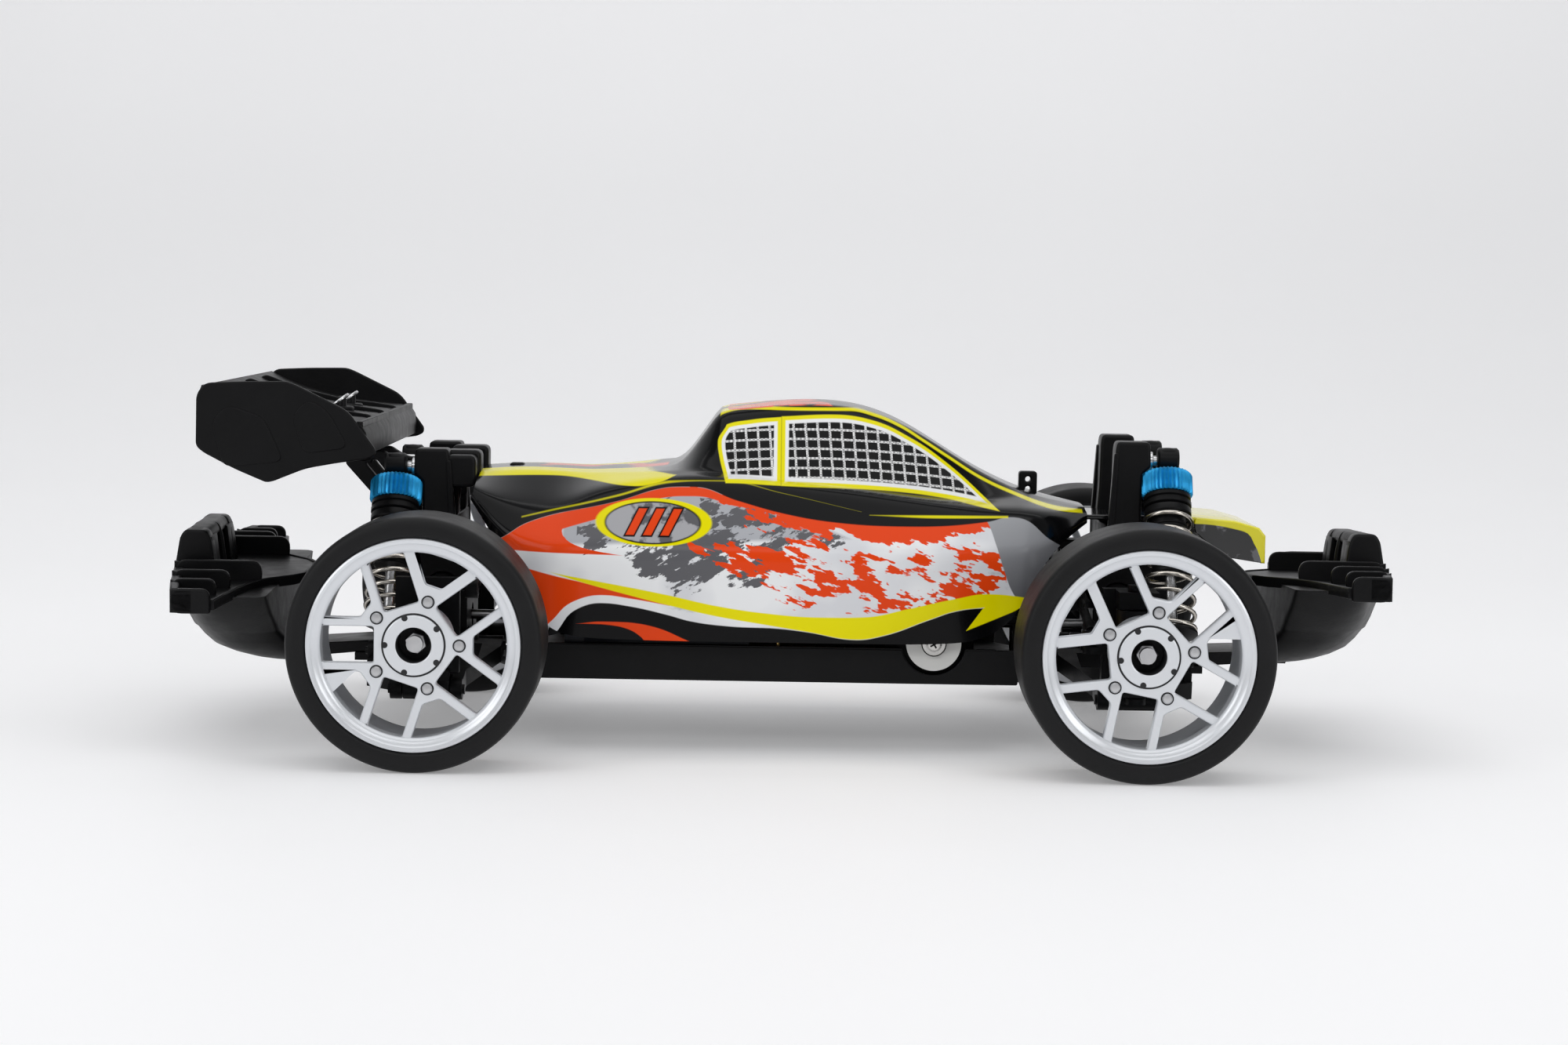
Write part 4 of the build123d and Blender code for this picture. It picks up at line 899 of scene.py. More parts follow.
def rim_mesh(rounding):
    """Barrel with two lips, a spoked face set a little into it, and a hub, at the front left."""
    w = TYRE_HALF
    barrel = [
        (23.5, -w + 0.4), (25.7, -w + 0.3), (25.9, -w + 0.8), (25.6, -w + 1.5), (24.9, -w + 1.6),
        (24.9, w - 1.7)
    ]
    barrel += [
        (25.6, w - 1.6), (25.9, w - 1.0), (25.75, w - 0.45), (25.3, w - 0.25), (24.7, w - 0.4),
        (24.2, w - 0.9)
    ]
    barrel += [(23.5, w - 1.1), (22.8, w - 1.5), (22.45, w - 2.0), (22.4, w - 5.8), (23.4, w - 7.0)]
    holes = []
    for k in range(5):
        for angle, small in ((36 + 72 * k, False), (72 * k, True)):
            window = rim_window(-angle - SPOKE_TURN, small)
            holes.append([(AXLE[0] + x, AXLE[1] + z) for x, z in window])
    holes.append(circle(*AXLE, CAP_BORE, 48))
    face = side_plate(circle(*AXLE, 22.9, 120), WHEEL_MID + 7.8, WHEEL_MID + 10.9, rounding, holes)
    boss = [(2.1, -3.8), (8.3, -3.8), (8.6, -3.4), (8.6, 8.4), (4.5, 8.4), (4.5, 2.7), (2.1, 2.7)]
    return joined("rim", [on_wheel(barrel, 128), face, on_wheel(boss, 64)])


def about_axle(mesh, degrees):
    """A copy turned about the front left wheel's axis."""
    copy = mesh.copy()
    centre = Matrix.Translation((AXLE_X, 0, AXLE_Z))
    copy.transform(centre @ Matrix.Rotation(math.radians(degrees), 4, "Y") @ centre.inverted())
    return copy


def wheel_hardware():
    """Small parts of the front left wheel: pale (cap ring), steel (nut, axle end, bolts) and dark ones that
    paint the shade in the groove round the cap ring, in the bore, round the bolts and in small holes of the
    cap ring.
    """
    bore = [circle(*AXLE, CAP_BORE, 48)]
    ring = side_plate(circle(*AXLE, 7.3, 240), WHEEL_MID + 10.7, WHEEL_MID + 11.5, 0.35, bore)
    # Dark ring a little wider than the cap ring: painted shade in the groove round the cap.
    groove = side_plate(circle(*AXLE, 7.75, 240), WHEEL_MID + 10.5, WHEEL_MID + 11.0, 0.1, bore)
    # Dark sleeve and floor in the bore: painted shade inside the bore, behind the nut.
    bore_shade = on_wheel(
        [(4.28, 2.9), (4.28, 11.2), (4.5, 11.45), (4.55, 11.3), (4.5, 2.7), (0.0, 2.7), (0.0, 2.9)], 48
    )
    nut = side_plate(circle(*AXLE, 2.8, 6), WHEEL_MID + 2.9, WHEEL_MID + 6.6, 0.3)
    end = on_wheel([(0.0, 6.2), (1.5, 6.2), (1.6, 7.2), (1.3, 7.6), (0.8, 7.6), (0.7, 6.9), (0.0, 6.9)], 40)
    bolts, rings = [], []
    for k in range(5):
        angle = -math.radians(72 * k + SPOKE_TURN)
        centre = (AXLE[0] + 11 * math.cos(angle), AXLE[1] + 11 * math.sin(angle))
        bolts.append(
            on_wheel([(0.0, 10.7), (1.25, 10.7), (1.25, 11.3), (1.0, 11.6), (0.0, 11.65)], 28, centre)
        )
        # Dark ring round each bolt head: painted shade round the bolt.
        rings.append(on_wheel([(1.2, 10.7), (1.6, 10.7), (1.6, 10.98), (1.2, 10.98)], 28, centre))
        angle += math.radians(36)
        centre = (AXLE[0] + 6.9 * math.cos(angle), AXLE[1] + 6.9 * math.sin(angle))
        # Dark dot on the cap ring: painted shade in a small hole.
        rings.append(on_wheel([(0.0, 11.0), (0.75, 11.0), (0.75, 11.55), (0.0, 11.55)], 20, centre))
    return [ring], [nut, end, *bolts], [groove, bore_shade, *rings]


def tyre_mesh():
    """Slick tyre: flat sidewall with a raised ring, rounded shoulders and a nearly flat tread."""
    w = TYRE_HALF
    half = [(24.95, w - 1.6), (25.7, w - 1.3), (26.2, w - 0.5), (26.6, w - 0.1), (27.2, w), (28.6, w)]
    half += [
        (29.7, w - 0.15), (30.35, w - 0.5), (30.75, w - 1.1), (30.95, w - 2.0), (31.0, w - 3.4),
        (31.0, w - 10.4)
    ]
    profile = half + [(r, -y) for r, y in reversed(half)]
    return on_wheel(profile, 160)


def tyre_rubber(colours):
    """Satin rubber: cloudy tone and gloss, a fine grain and faint waves."""
    paint = Paint("tyre_rubber", 0.5)
    cloud = paint.noise(0.014, 6)
    paint.shader.inputs["Specular IOR Level"].default_value = 0.22
    paint.colour(paint.mix(cloud, rgb(colours.rubber, 0.8), rgb(colours.rubber, 1.7)))
    paint.rough(paint.between(paint.noise(0.005, 5), 0.38, 0.60))
    grain = paint.noise(0.0007, 4)
    waves = paint.noise(0.02, 2)
    paint.bump(paint.plus(grain, paint.times(waves, 2.0)), 0.00006, 0.6)
    return paint.material


def rim_silver(colours):
    """Painted plastic, partly metallic, with a faint cloudiness in colour and gloss."""
    paint = Paint("rim_silver", 0.28, 0.35)
    cloud = paint.noise(0.02, 4)
    paint.colour(paint.mix(cloud, rgb(colours.silver, 0.97), rgb(colours.silver, 1.05)))
    paint.rough(paint.between(paint.noise(0.01, 3), 0.26, 0.32))
    paint.bump(paint.noise(0.02, 1), 0.00002, 0.15)
    return paint.material


def bright_steel(name="bright_steel", tint=(0.60, 0.60, 0.61), rough=0.3):
    """Turned steel: fine lines and light smudges."""
    paint = Paint(name, rough, 1.0)
    lines = paint.noise(0.004, 3, where=paint.place((1, 14, 1)))
    paint.colour(paint.mix(lines, rgb(tint, 0.78), rgb(tint, 1.15)))
    paint.rough(paint.between(paint.noise(0.003, 5), rough - 0.1, rough + 0.14))
    paint.bump(lines, 0.00003, 0.4)
    return paint.material


class CAR_OT_wheels(bpy.types.Operator):
    """Build the four tyres and rims with their bolts and centre caps"""

    bl_idname = "model_car.wheels"
    bl_label = "Wheels"

    def execute(self, context):
        sizes, colours = context.scene.car_sizes, context.scene.car_colours
        rubber, silver, steel = tyre_rubber(colours), rim_silver(colours), bright_steel()
        # Dark finish of the pieces that paint the shade in the rims' groove, bore, bolt recesses and holes.
        dark = moulded("recess_shade", (0.03, 0.03, 0.032), 0.4)
        tyre = tyre_mesh()
        face = rim_mesh(sizes.spoke_round / MM)
        caps, bright, shade_pieces = wheel_hardware()
        for end, turn in (("front", 0.0), ("rear", REAR_SPOKE_TURN)):
            for side in ("left", "right"):
                corner = f"{end}_{side}"
                sx, sy = CORNERS[corner]
                groups = (
                    ("tyre", [tyre], rubber, 30),
                    ("rim", [about_axle(mesh, turn) for mesh in (face, *caps)], silver, 30),
                    ("wheel_bolts", [about_axle(mesh, turn) for mesh in bright], steel, 30),
                    ("recess_shade", [about_axle(mesh, turn) for mesh in shade_pieces], dark, 30),
                )
                for name, meshes, material, angle in groups:
                    mesh = mirrored(joined(f"{name}_{corner}", meshes), sx, sy)
                    made = piece(f"{name}_{corner}_skin", mesh, material, angle)
                    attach(made, f"wheel_{corner}")
                    if name in ("tyre", "rim"):
                        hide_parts(f"{name}_{corner}")
                    if name == "wheel_bolts":
                        self.stub(corner, sx, sy, steel)
        return {"FINISHED"}

    def stub(self, corner, sx, sy, steel):
        """The axle's inner end with its drive cup and the hexagon that the rim sits on."""
        cup = [
            (2.0, 68.5), (3.4, 68.3), (3.7, 67.9), (3.95, 67.5), (3.95, 58.3), (3.6, 57.9), (3.2, 58.2),
            (3.2, 63.9)
        ]
        axle = lathe([*cup, (0.0, 63.9), (0.0, 83.9), (2.0, 83.9)], AXLE, 48)
        block = side_plate(circle(*AXLE, 6.9, 6), 67.5, 72.6, 0.3)
        mesh = mirrored(joined("stub", [axle, block]), sx, sy)
        made = piece(f"stub_axle_{corner}", mesh, steel, 30)
        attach(made, f"wheel_{corner}")


# Shock absorbers ---------------------------------------------------------------------------
def shock_turned(profile, lower=0.0, flutes=0, depth=0.0):
    """A turned piece on the front left shock absorber's axis; (radius, distance below the top pin) in mm."""
    shape = [(radius, down + lower) for radius, down in profile]
    return spindle(shape, SHOCK_TOP, SHOCK_LOW, 72 if flutes else 40, flutes, depth)


def eye_mesh(centre, radius, half):
    """A rounded boss along the car's length about a point, in mm."""
    reach = Vector((half, 0, 0))
    shape = [(radius - 0.5, 0), (radius, 0.5), (radius, 2 * half - 0.5), (radius - 0.5, 2 * half)]
    return spindle(shape, centre - reach, centre + reach, 32)


class CAR_OT_shocks(bpy.types.Operator):
    """Build the four shock absorbers: knurled cap, ringed can, spring, spring cup and shaft"""

    bl_idname = "model_car.shocks"
    bl_label = "Shock absorbers"

    def execute(self, context):
        sizes, colours = context.scene.car_sizes, context.scene.car_colours
        down = SHOCK_LENGTH
        blue = anodised_blue(colours)
        nylon = moulded("shock_nylon", colours.nylon, 0.38)
        nickel = bright_steel("spring_nickel", (0.66, 0.62, 0.56), 0.22)
        shaft_steel = bright_steel("shaft_steel", (0.55, 0.55, 0.56), 0.2)
        foot = [
            shock_turned(
                [
                    (1.6, down - 8.4), (6.2, down - 8.4), (6.6, down - 8.0), (6.6, down - 7.4),
                    (5.8, down - 7.0), (3.4, down - 5.9), (2.2, down - 5.6), (2.0, down - 1.5)
                ]
            )
        ]
        foot.append(eye_mesh(SHOCK_LOW, 2.6, 2.0))
        for corner, (sx, sy) in CORNERS.items():
            lower = 0.5 if corner.startswith("front") else 5.6
            cap, can = self.cap(lower), self.can(lower)
            shaft = shock_turned([(1.3, 20.0 + lower), (1.5, 20.3 + lower), (1.5, down - 5.2)])
            spring = self.coil(sizes.spring_wire, sizes.spring_turns, lower)
            pieces = (
                (
                    f"shock_cap_{corner}", [cap], blue, f"damper_{corner}", "blue_cap",
                    (f"shock_body_{corner}",)
                ),
                (
                    f"shock_can_{corner}", can, nylon, f"damper_{corner}", "black_plastic",
                    (f"shock_body_{corner}",)
                ),
                (
                    f"shock_foot_{corner}", foot, nylon, f"damper_rod_{corner}", "black_plastic",
                    (f"shock_rod_{corner}",)
                ),
                (
                    f"shock_shaft_{corner}", [shaft], shaft_steel, f"damper_rod_{corner}", "steel",
                    (f"shock_rod_{corner}",)
                ),
            )
            for name, meshes, material, body, slot, nodes in pieces:
                made = piece(name, mirrored(joined(name, meshes), sx, sy), material, 32)
                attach(made, body)
                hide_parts(*nodes)
            made = piece(f"shock_coil_{corner}", mirrored(spring, sx, sy), nickel, 60)
            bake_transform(made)
            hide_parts(f"shock_spring_{corner}")
        return {"FINISHED"}

    def cap(self, lower):
        """Knurled cap with a chamfer at each end."""
        profile = [(5.0, 3.3), (6.0, 3.4), (6.6, 4.0), (6.7, 4.4), (6.7, 9.0), (6.4, 9.5)]
        return shock_turned(profile, lower, 36, 0.55)

    def can(self, lower):
        """Ringed can below the cap, its collar, and the neck and eye above the cap."""
        rings = [
            (4.9, 9.4), (5.9, 9.6), (6.1, 9.9), (6.1, 10.7), (5.6, 11.0), (5.6, 11.3), (6.2, 11.6),
            (6.2, 12.6), (5.4, 13.0)
        ]
        end = 32.0 - lower * 0.8
        made = [shock_turned([*rings, (4.6, 13.2), (4.6, end - 0.4), (4.2, end)], lower)]
        made.append(
            shock_turned(
                [(4.6, 13.0), (5.9, 13.2), (6.1, 13.6), (6.1, 14.9), (5.8, 15.3), (4.6, 15.4)], lower
            )
        )
        for z in (17.5, 19.5, 21.5, 23.5, 25.5):
            made.append(shock_turned([(4.5, z), (4.9, z + 0.3), (4.9, z + 0.7), (4.5, z + 1.0)], lower))
        centre = SHOCK_TOP + SHOCK_AXIS * lower + Vector((0.4, 0, 1.0))
        made.append(eye_mesh(centre, 3.0, 2.8))
        dome = [(-2.9, -4.5), (2.9, -4.5), (2.9, 3.0), (-2.9, 3.0)]
        shape = [(centre.x + x, centre.z + z) for x, z in rounded(dome, 3.0, 8)]
        made.append(side_plate(shape, centre.y - 2.3, centre.y + 2.3, 1.2))
        return made

    def coil(self, wire, working, lower):
        """Helical spring with a flat closed turn at each end."""
        side = Vector((1, 0, 0))
        up = SHOCK_AXIS.cross(side)
        first, last = 15.6 + lower + wire / MM, SHOCK_LENGTH - 8.5 - wire / MM
        closed = 0.8
        total = working + 2 * closed
        points = []
        for k in range(int(total * 28) + 1):
            turn = k / 28
            share = min(max((turn - closed) / working, 0.0), 1.0)
            along = first + (last - first) * share
            along += 0.25 * min(turn, closed) / closed - 0.25 * min(total - turn, closed) / closed
            angle = 2 * math.pi * turn
            around = (side * math.cos(angle) + up * math.sin(angle)) * 6.0
            points.append((SHOCK_TOP + SHOCK_AXIS * along + around) * MM)
        return tube(points, wire)


def anodised_blue(colours):
    """Blue anodised aluminium with fine turning lines."""
    paint = Paint("anodised_blue", 0.3, 0.55)
    lines = paint.noise(0.0012, 3)
    paint.colour(paint.mix(lines, rgb(colours.anodised, 0.75), rgb(colours.anodised, 1.3)))
    paint.rough(paint.between(paint.noise(0.003, 4), 0.22, 0.4))
    paint.bump(lines, 0.00004, 0.4)
    return paint.material


# Wing --------------------------------------------------------------------------------------
class CAR_OT_wing(bpy.types.Operator):
    """Build the rear wing with its endplates, ribs, pins and split rings"""

    bl_idname = "model_car.wing"
    bl_label = "Rear wing"

    def execute(self, context):
        colours = context.scene.car_colours
        nylon = moulded("wing_nylon", colours.nylon, 0.42, 0.0008, 0.00006)
        top = [
            (103.4, 78.0), (103.8, 80.4), (105.0, 82.3), (107.6, 83.0), (112.0, 83.4), (117.0, 83.9),
            (122.0, 84.6), (128, 85.8)
        ]
        top += [(134.0, 87.4), (139.6, 89.4), (144.6, 91.6)]
        under = [
            (145.0, 90.6), (140.0, 88.2), (134.0, 86.0), (128.0, 84.3), (122.0, 82.9), (112.0, 81.6),
            (107.0, 80.9)
        ]
        under += [(105.6, 79.4), (105.2, 74.8), (103.6, 74.8)]
        plate_line = [
            (145.8, 89.4), (143.6, 92.2), (134, 92.7), (123.4, 92.9), (120.8, 91.9), (108.2, 85.8),
            (101.3, 76.3)
        ]
        plate_line += [
            (101.5, 74.8), (103.2, 73.9), (110.3, 72.9), (118.7, 71.3), (126.7, 68.0), (128.4, 67.7)
        ]
        plate_line += [(136.4, 71.0), (144.0, 74.9), (145.9, 76.5)]
        parts = [side_plate(top + under, -57, 57, 0.25)]
        for s in (-1, 1):
            parts.append(side_plate(rounded(plate_line, 2.2, 4), s * 56.6, s * 58.0, 0.4))
            for x0, z0, x1, z1 in ((108, 76.6, 122, 88.6), (124, 73.0, 142, 86.8)):
                panel = [(x0, z0), (x1 - 3, z0 - 1.6), (x1, z1 - 4), (x1 - 4, z1), (x0 + 5, z1 - 3)]
                parts.append(side_plate(rounded(panel, 2.4, 5), s * 57.7, s * 58.25, 0.22))
        rib = [
            (104.4, 81), (120, 83.2), (143.6, 90.6), (141.6, 91.6), (132, 88.0), (120, 85.3), (112, 84.5),
            (106, 83.6)
        ]
        for y in (-28, 0, 28):
            parts.append(side_plate(rounded(rib, 1.2), y - 0.6, y + 0.6, 0.25))
        strip = [(104.6, -56.8), (106.2, -56.8), (106.2, 56.8), (104.6, 56.8)]
        parts.append(floor_plate(strip, 81.6, 83.2, 0.3))
        for y in (-9.4, 9.4):
            hub = [(2.9, 0), (3.2, 0.3), (3.2, 1.2), (2.8, 1.6)]
            parts.append(spindle(hub, (116, y, 83.3), (116, y, 86), 32))
        wing = piece("rear_wing_skin", mirrored(joined("rear_wing", parts), -1, 1), nylon, 35)
        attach(wing, "chassis")
        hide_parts("rear_wing")
        clips, posts = [], []
        for y in (-9.4, 9.4):
            post = [(1.2, 0), (1.2, 5.2), (1.0, 5.9), (0.7, 6.1)]
            posts.append(spindle(post, (-116, y, 81.4), (-116, y, 90.5), 24))
            middle = Vector((-116.4, y - 3.0, 86.2))
            around = [Vector((math.sin(a) * 0.75, math.cos(a), math.sin(a) * 0.6)) * 3.0 for a in turns(40)]
            clips.append(tube([(middle + offset) * MM for offset in around], 0.00042, closed=True, sides=2))
        steel = bright_steel("clip_steel", (0.62, 0.62, 0.63), 0.25)
        for name, meshes, material, slot in (
            ("wing_posts", posts, nylon, "black_plastic"), ("wing_rings", clips, steel, "steel")
        ):
            made = piece(name, joined(name, meshes), material, 40)
            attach(made, "chassis")
            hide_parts("wing_clips")
        return {"FINISHED"}


# Bumpers -----------------------------------------------------------------------------------
def loft(rings):
    """A closed skin through rings of equal count, with flat ends."""
    count = len(rings[0])
    points = [point for ring in rings for point in ring]
    faces = []
    for row in range(len(rings) - 1):
        for k in range(count):
            after = (k + 1) % count
            faces.append(
                (row * count + k, row * count + after, (row + 1) * count + after, (row + 1) * count + k)
            )
    faces.append(tuple(range(count - 1, -1, -1)))
    faces.append(tuple((len(rings) - 1) * count + k for k in range(count)))
    return new_mesh("loft", points, faces)


def bowl_mesh():
    """The bumper's bowl: rounded rectangles that shrink and step back toward the bottom."""
    stations = [
        (42.2, 143.6, 26, 92, 4), (38, 143.4, 26, 84, 6), (34, 142.9, 25.6, 74, 8), (31.2, 142.4, 25, 66, 9),
        (30.6, 142.0, 24.4, 64, 9)
    ]
    stations += [
        (28, 140.2, 24.6, 58, 9), (25.6, 138.2, 24.2, 52, 9), (23.6, 135.6, 22.4, 44, 8),
        (22.2, 133.0, 19.6, 38, 7), (21.5, 131.6, 17, 33, 6)
    ]
    rings = []
    for z, x, deep, wide, r in stations:
        back, front, half = x - deep / 2, x + deep / 2, wide / 2
        corners = [
            (back, -half), (front - 8, -half), (front, -half * 0.45), (front, half * 0.45), (front - 8, half),
            (back, half)
        ]
        rings.append([(a * MM, b * MM, z * MM) for a, b in rounded(corners, r, 6)])
    return loft(rings)


def bumper_mesh(tilt, lift):
    """Tray, ribs, end caps, rail, arch and bowl, turned about the car's length; the foot stays level."""
    tray = [(125.5, -10), (128, -16), (134.6, -24), (137.2, -32), (138.8, -40), (140.2, -52), (141.2, -62.8)]
    tray += [(150, -62.8), (152.8, -51), (156.6, -25), (158.4, -14)]
    outline = tray + [(x, -y) for x, y in reversed(tray)]
    parts = [floor_plate(outline, 41.6, 43.6, 0.5), bowl_mesh()]
    lip = [(x - 0.9, y) for x, y in tray[:7]] + [(x + 0.4, y) for x, y in reversed(tray[:7])]
    for s in (1, -1):
        parts.append(floor_plate([(x, s * y) for x, y in lip], 41.2, 44.0, 0.4))
        for y, x0, x1, top in (
            (24.5, 134.4, 156.6, 48.7), (39, 140.2, 154.6, 48.2), (51, 141.8, 152.8, 47.6)
        ):
            rib = [(x0, 42), (x0, top), (x1, top), (x1, 42)]
            parts.append(side_plate(rounded(rib, 3.8, 6), s * (y - 0.8), s * (y + 0.8), 0.3))
            parts.append(
                side_plate(
                    [(x0 + 3, 42), (x0 + 3, top - 3), (x1 + 0.4, top - 0.4), (x1 + 0.4, 42)], s * (y - 0.7),
                    s * (y + 0.7), 0.2
                )
            )
        cap = [(141.2, 40.9), (141.2, 46.8), (151.2, 46.8), (151.2, 40.5), (141.6, 40.5)]
        parts.append(side_plate(rounded(cap, 3.0, 6), s * 62.2, s * 63.9, 0.5))
        parts.append(
            side_plate([(145.4, 40.5), (145.4, 46.8), (151.2, 46.6), (151.2, 40.7)], s * 62.2, s * 63.9, 0.5)
        )
        rail = [
            (156.6, 14), (154.4, 25), (150.8, 51), (148.8, 63.4), (151.2, 63.4), (153.4, 51), (157.2, 25),
            (158.6, 14)
        ]
        parts.append(floor_plate([(x, s * y) for x, y in rail], 40.6, 46.8, 0.6))
    arch = [(147.2, 42), (148.6, 52.6), (149.8, 55.6), (155.6, 55.6), (156.9, 53.6), (158.2, 46), (158.5, 42)]
    for y0, y1 in ((-18, -12.5), (-0.8, 0.8), (12.5, 18)):
        parts.append(side_plate(rounded(arch, 2.2), y0, y1, 0.7))
    crown = [(149.0, 52.6), (150.0, 55.6), (155.4, 55.6), (156.8, 53.6), (156.0, 52.6)]
    parts.append(side_plate(rounded(crown, 1.4), -17.6, 17.6, 0.6))
    parts.append(
        side_plate([(156.4, 42), (156.0, 54), (157.0, 53.4), (158.2, 46), (158.5, 42)], -17, 17, 0.3)
    )
    parts.append(side_plate([(147.4, 42), (148.8, 53.6), (149.8, 53.6), (149.2, 42)], -17, -8, 0.2))
    parts.append(side_plate([(147.4, 42), (148.8, 53.6), (149.8, 53.6), (149.2, 42)], 8, 17, 0.2))
    made = joined("bumper", parts)
    middle = Matrix.Translation((0, 0, 0.044))
    made.transform(
        Matrix.Translation((0, 0, lift * MM)) @ middle @ Matrix.Rotation(
            math.radians(tilt), 4, "X"
        ) @ middle.inverted()
    )
    foot = [
        (106.5, 20), (112, 20), (126, 21 + lift), (134, 21 + lift), (136, 24 + lift), (122, 24 + lift * 0.7),
        (106.5, 23.4)
    ]
    return joined("bumper", [made, side_plate(foot, -10.5, 10.5, 0.5)])


class CAR_OT_bumpers(bpy.types.Operator):
    """Build the front and rear bumpers"""

    bl_idname = "model_car.bumpers"
    bl_label = "Bumpers"

    def execute(self, context):
        nylon = moulded("bumper_nylon", context.scene.car_colours.nylon, 0.4, 0.0006, 0.00005)
        for end, sx, tilt, lift in (("front", 1, -2.2, 0.0), ("rear", -1, 2.6, -2.4)):
            mesh = bumper_mesh(tilt, lift)
            made = piece(f"{end}_bumper_skin", mirrored(mesh, sx, 1), nylon, 35)
            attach(made, "chassis")
            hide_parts(f"{end}_bumper")
        return {"FINISHED"}


# Towers, chassis and running gear ----------------------------------------------------------
class CAR_OT_towers(bpy.types.Operator):
    """Build the two shock towers with their studs, body posts and wing struts"""

    bl_idname = "model_car.towers"
    bl_label = "Shock towers"

    def execute(self, context):
        nylon = moulded("tower_nylon", context.scene.car_colours.nylon, 0.38, 0.0006, 0.00004)
        steel = bright_steel("stud_steel", (0.62, 0.62, 0.63), 0.25)
        for end, sx in (("front", 1), ("rear", -1)):
            parts, studs = self.shared(end)
            parts += self.post(65.5, 2.4) if end == "front" else self.rear_only()
            for name, meshes, material, slot in (
                ("tower", parts, nylon, "black_plastic"), ("studs", studs, steel, "steel")
            ):
                made = piece(f"{end}_{name}_skin", mirrored(joined(name, meshes), sx, 1), material, 35)
                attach(made, "chassis")
                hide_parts(f"{end}_shock_tower")
        return {"FINISHED"}

    def shared(self, end):
        """Cross block and foot, then on each side an arm, a stud and a washer."""
        top, foot = (79.6, 61.5) if end == "front" else (74.8, 66.4)
        pin, face = top - 5.0, 93.4
        parts = [side_plate(rounded([(85, 50), (93, 50), (93, 57), (85, 57)], 0.8), -22.4, 22.4, 0.5)]
        parts.append(side_plate([(foot, 50.0), (86, 50.0), (86, 52.4), (foot, 52.4)], -4.4, 4.4, 0.4))
        arm = [
            (85.2, 50), (86.2, 66), (86.4, top - 2), (86.8, top), (95.4, top), (95.6, pin - 1.6),
            (94.4, pin - 2.6), (face, pin - 3.4), (face, 50)
        ]
        flange = [(84.8, 50), (84.8, 57), (86.0, top - 3), (87.2, top - 3), (86.2, 50)]
        studs = []
        for s in (1, -1):
            parts.append(side_plate(rounded(arm, 1.3), s * 14.2, s * 22.5, 0.7))
            parts.append(side_plate(rounded(flange, 0.6), s * 20.4, s * 22.9, 0.25))
            y = s * SHOCK_TOP.y
            washer = [(2.2, 0), (2.35, 0.2), (2.35, 0.9), (2.1, 1.1)]
            studs.append(spindle(washer, (95.4, y, pin), (96.6, y, pin), 32))
            studs.append(spindle([(1.3, 0), (1.3, 6.6), (1.1, 6.8)], (96.0, y, pin), (102.8, y, pin), 24))
        return parts, studs

    def post(self, x, radius):
        """Body post with two clip holes near its top, and its collar."""
        shape = rounded([(x - radius, 51), (x + radius, 51), (x + radius, 70.3), (x - radius, 70.3)], 0.9)
        holes = [circle(x, z, 0.75, 24) for z in (65.6, 68.2)]
        collar = spindle([(radius + 1.0, 0), (radius + 0.6, 1.4)], (x, 0, 52.4), (x, 0, 53.8), 32)
        return [side_plate(shape, -1.9, 1.9, 0.4, holes), collar]

    def rear_only(self):
        """Post, boxes beside the arms, struts and feet of the wing."""
        parts = self.post(70.4, 2.0)
        strut = [(84.6, 60.5), (106.5, 60.7), (115.3, 70.4), (105.6, 73.9), (100.7, 70.9), (84.6, 70.4)]
        slot = [(101.5, 64.6), (104.6, 64.2), (109.6, 70.2), (106.8, 71.2)]
        foot = [(107.5, 70), (115.3, 70.4), (121, 82), (109.5, 80.2)]
        for s in (1, -1):
            box = [(79.6, 65.2), (79.6, 73.2), (87.5, 73.2), (87.5, 64.9), (82.4, 64.8)]
            parts.append(side_plate(rounded(box, 1.8, 6), s * 15.6, s * 22.2, 0.8))
            wide = [(78.8, 66.6), (78.8, 74.2), (88.7, 74.2), (88.7, 66.2), (80.4, 66.2)]
            parts.append(side_plate(rounded(wide, 1.8, 6), s * 7.6, s * 15.8, 0.9))
            parts.append(
                side_plate(rounded([(84.8, 57), (84.8, 68), (90, 68), (90, 57)], 0.8), s * 8.2, s * 15.2, 0.4)
            )
            parts.append(side_plate(rounded(strut, 1.4), s * 8.0, s * 10.8, 0.5, [rounded(slot, 0.8)]))
            parts.append(side_plate(rounded(foot, 1.2), s * 8.0, s * 10.8, 0.5))
        return parts


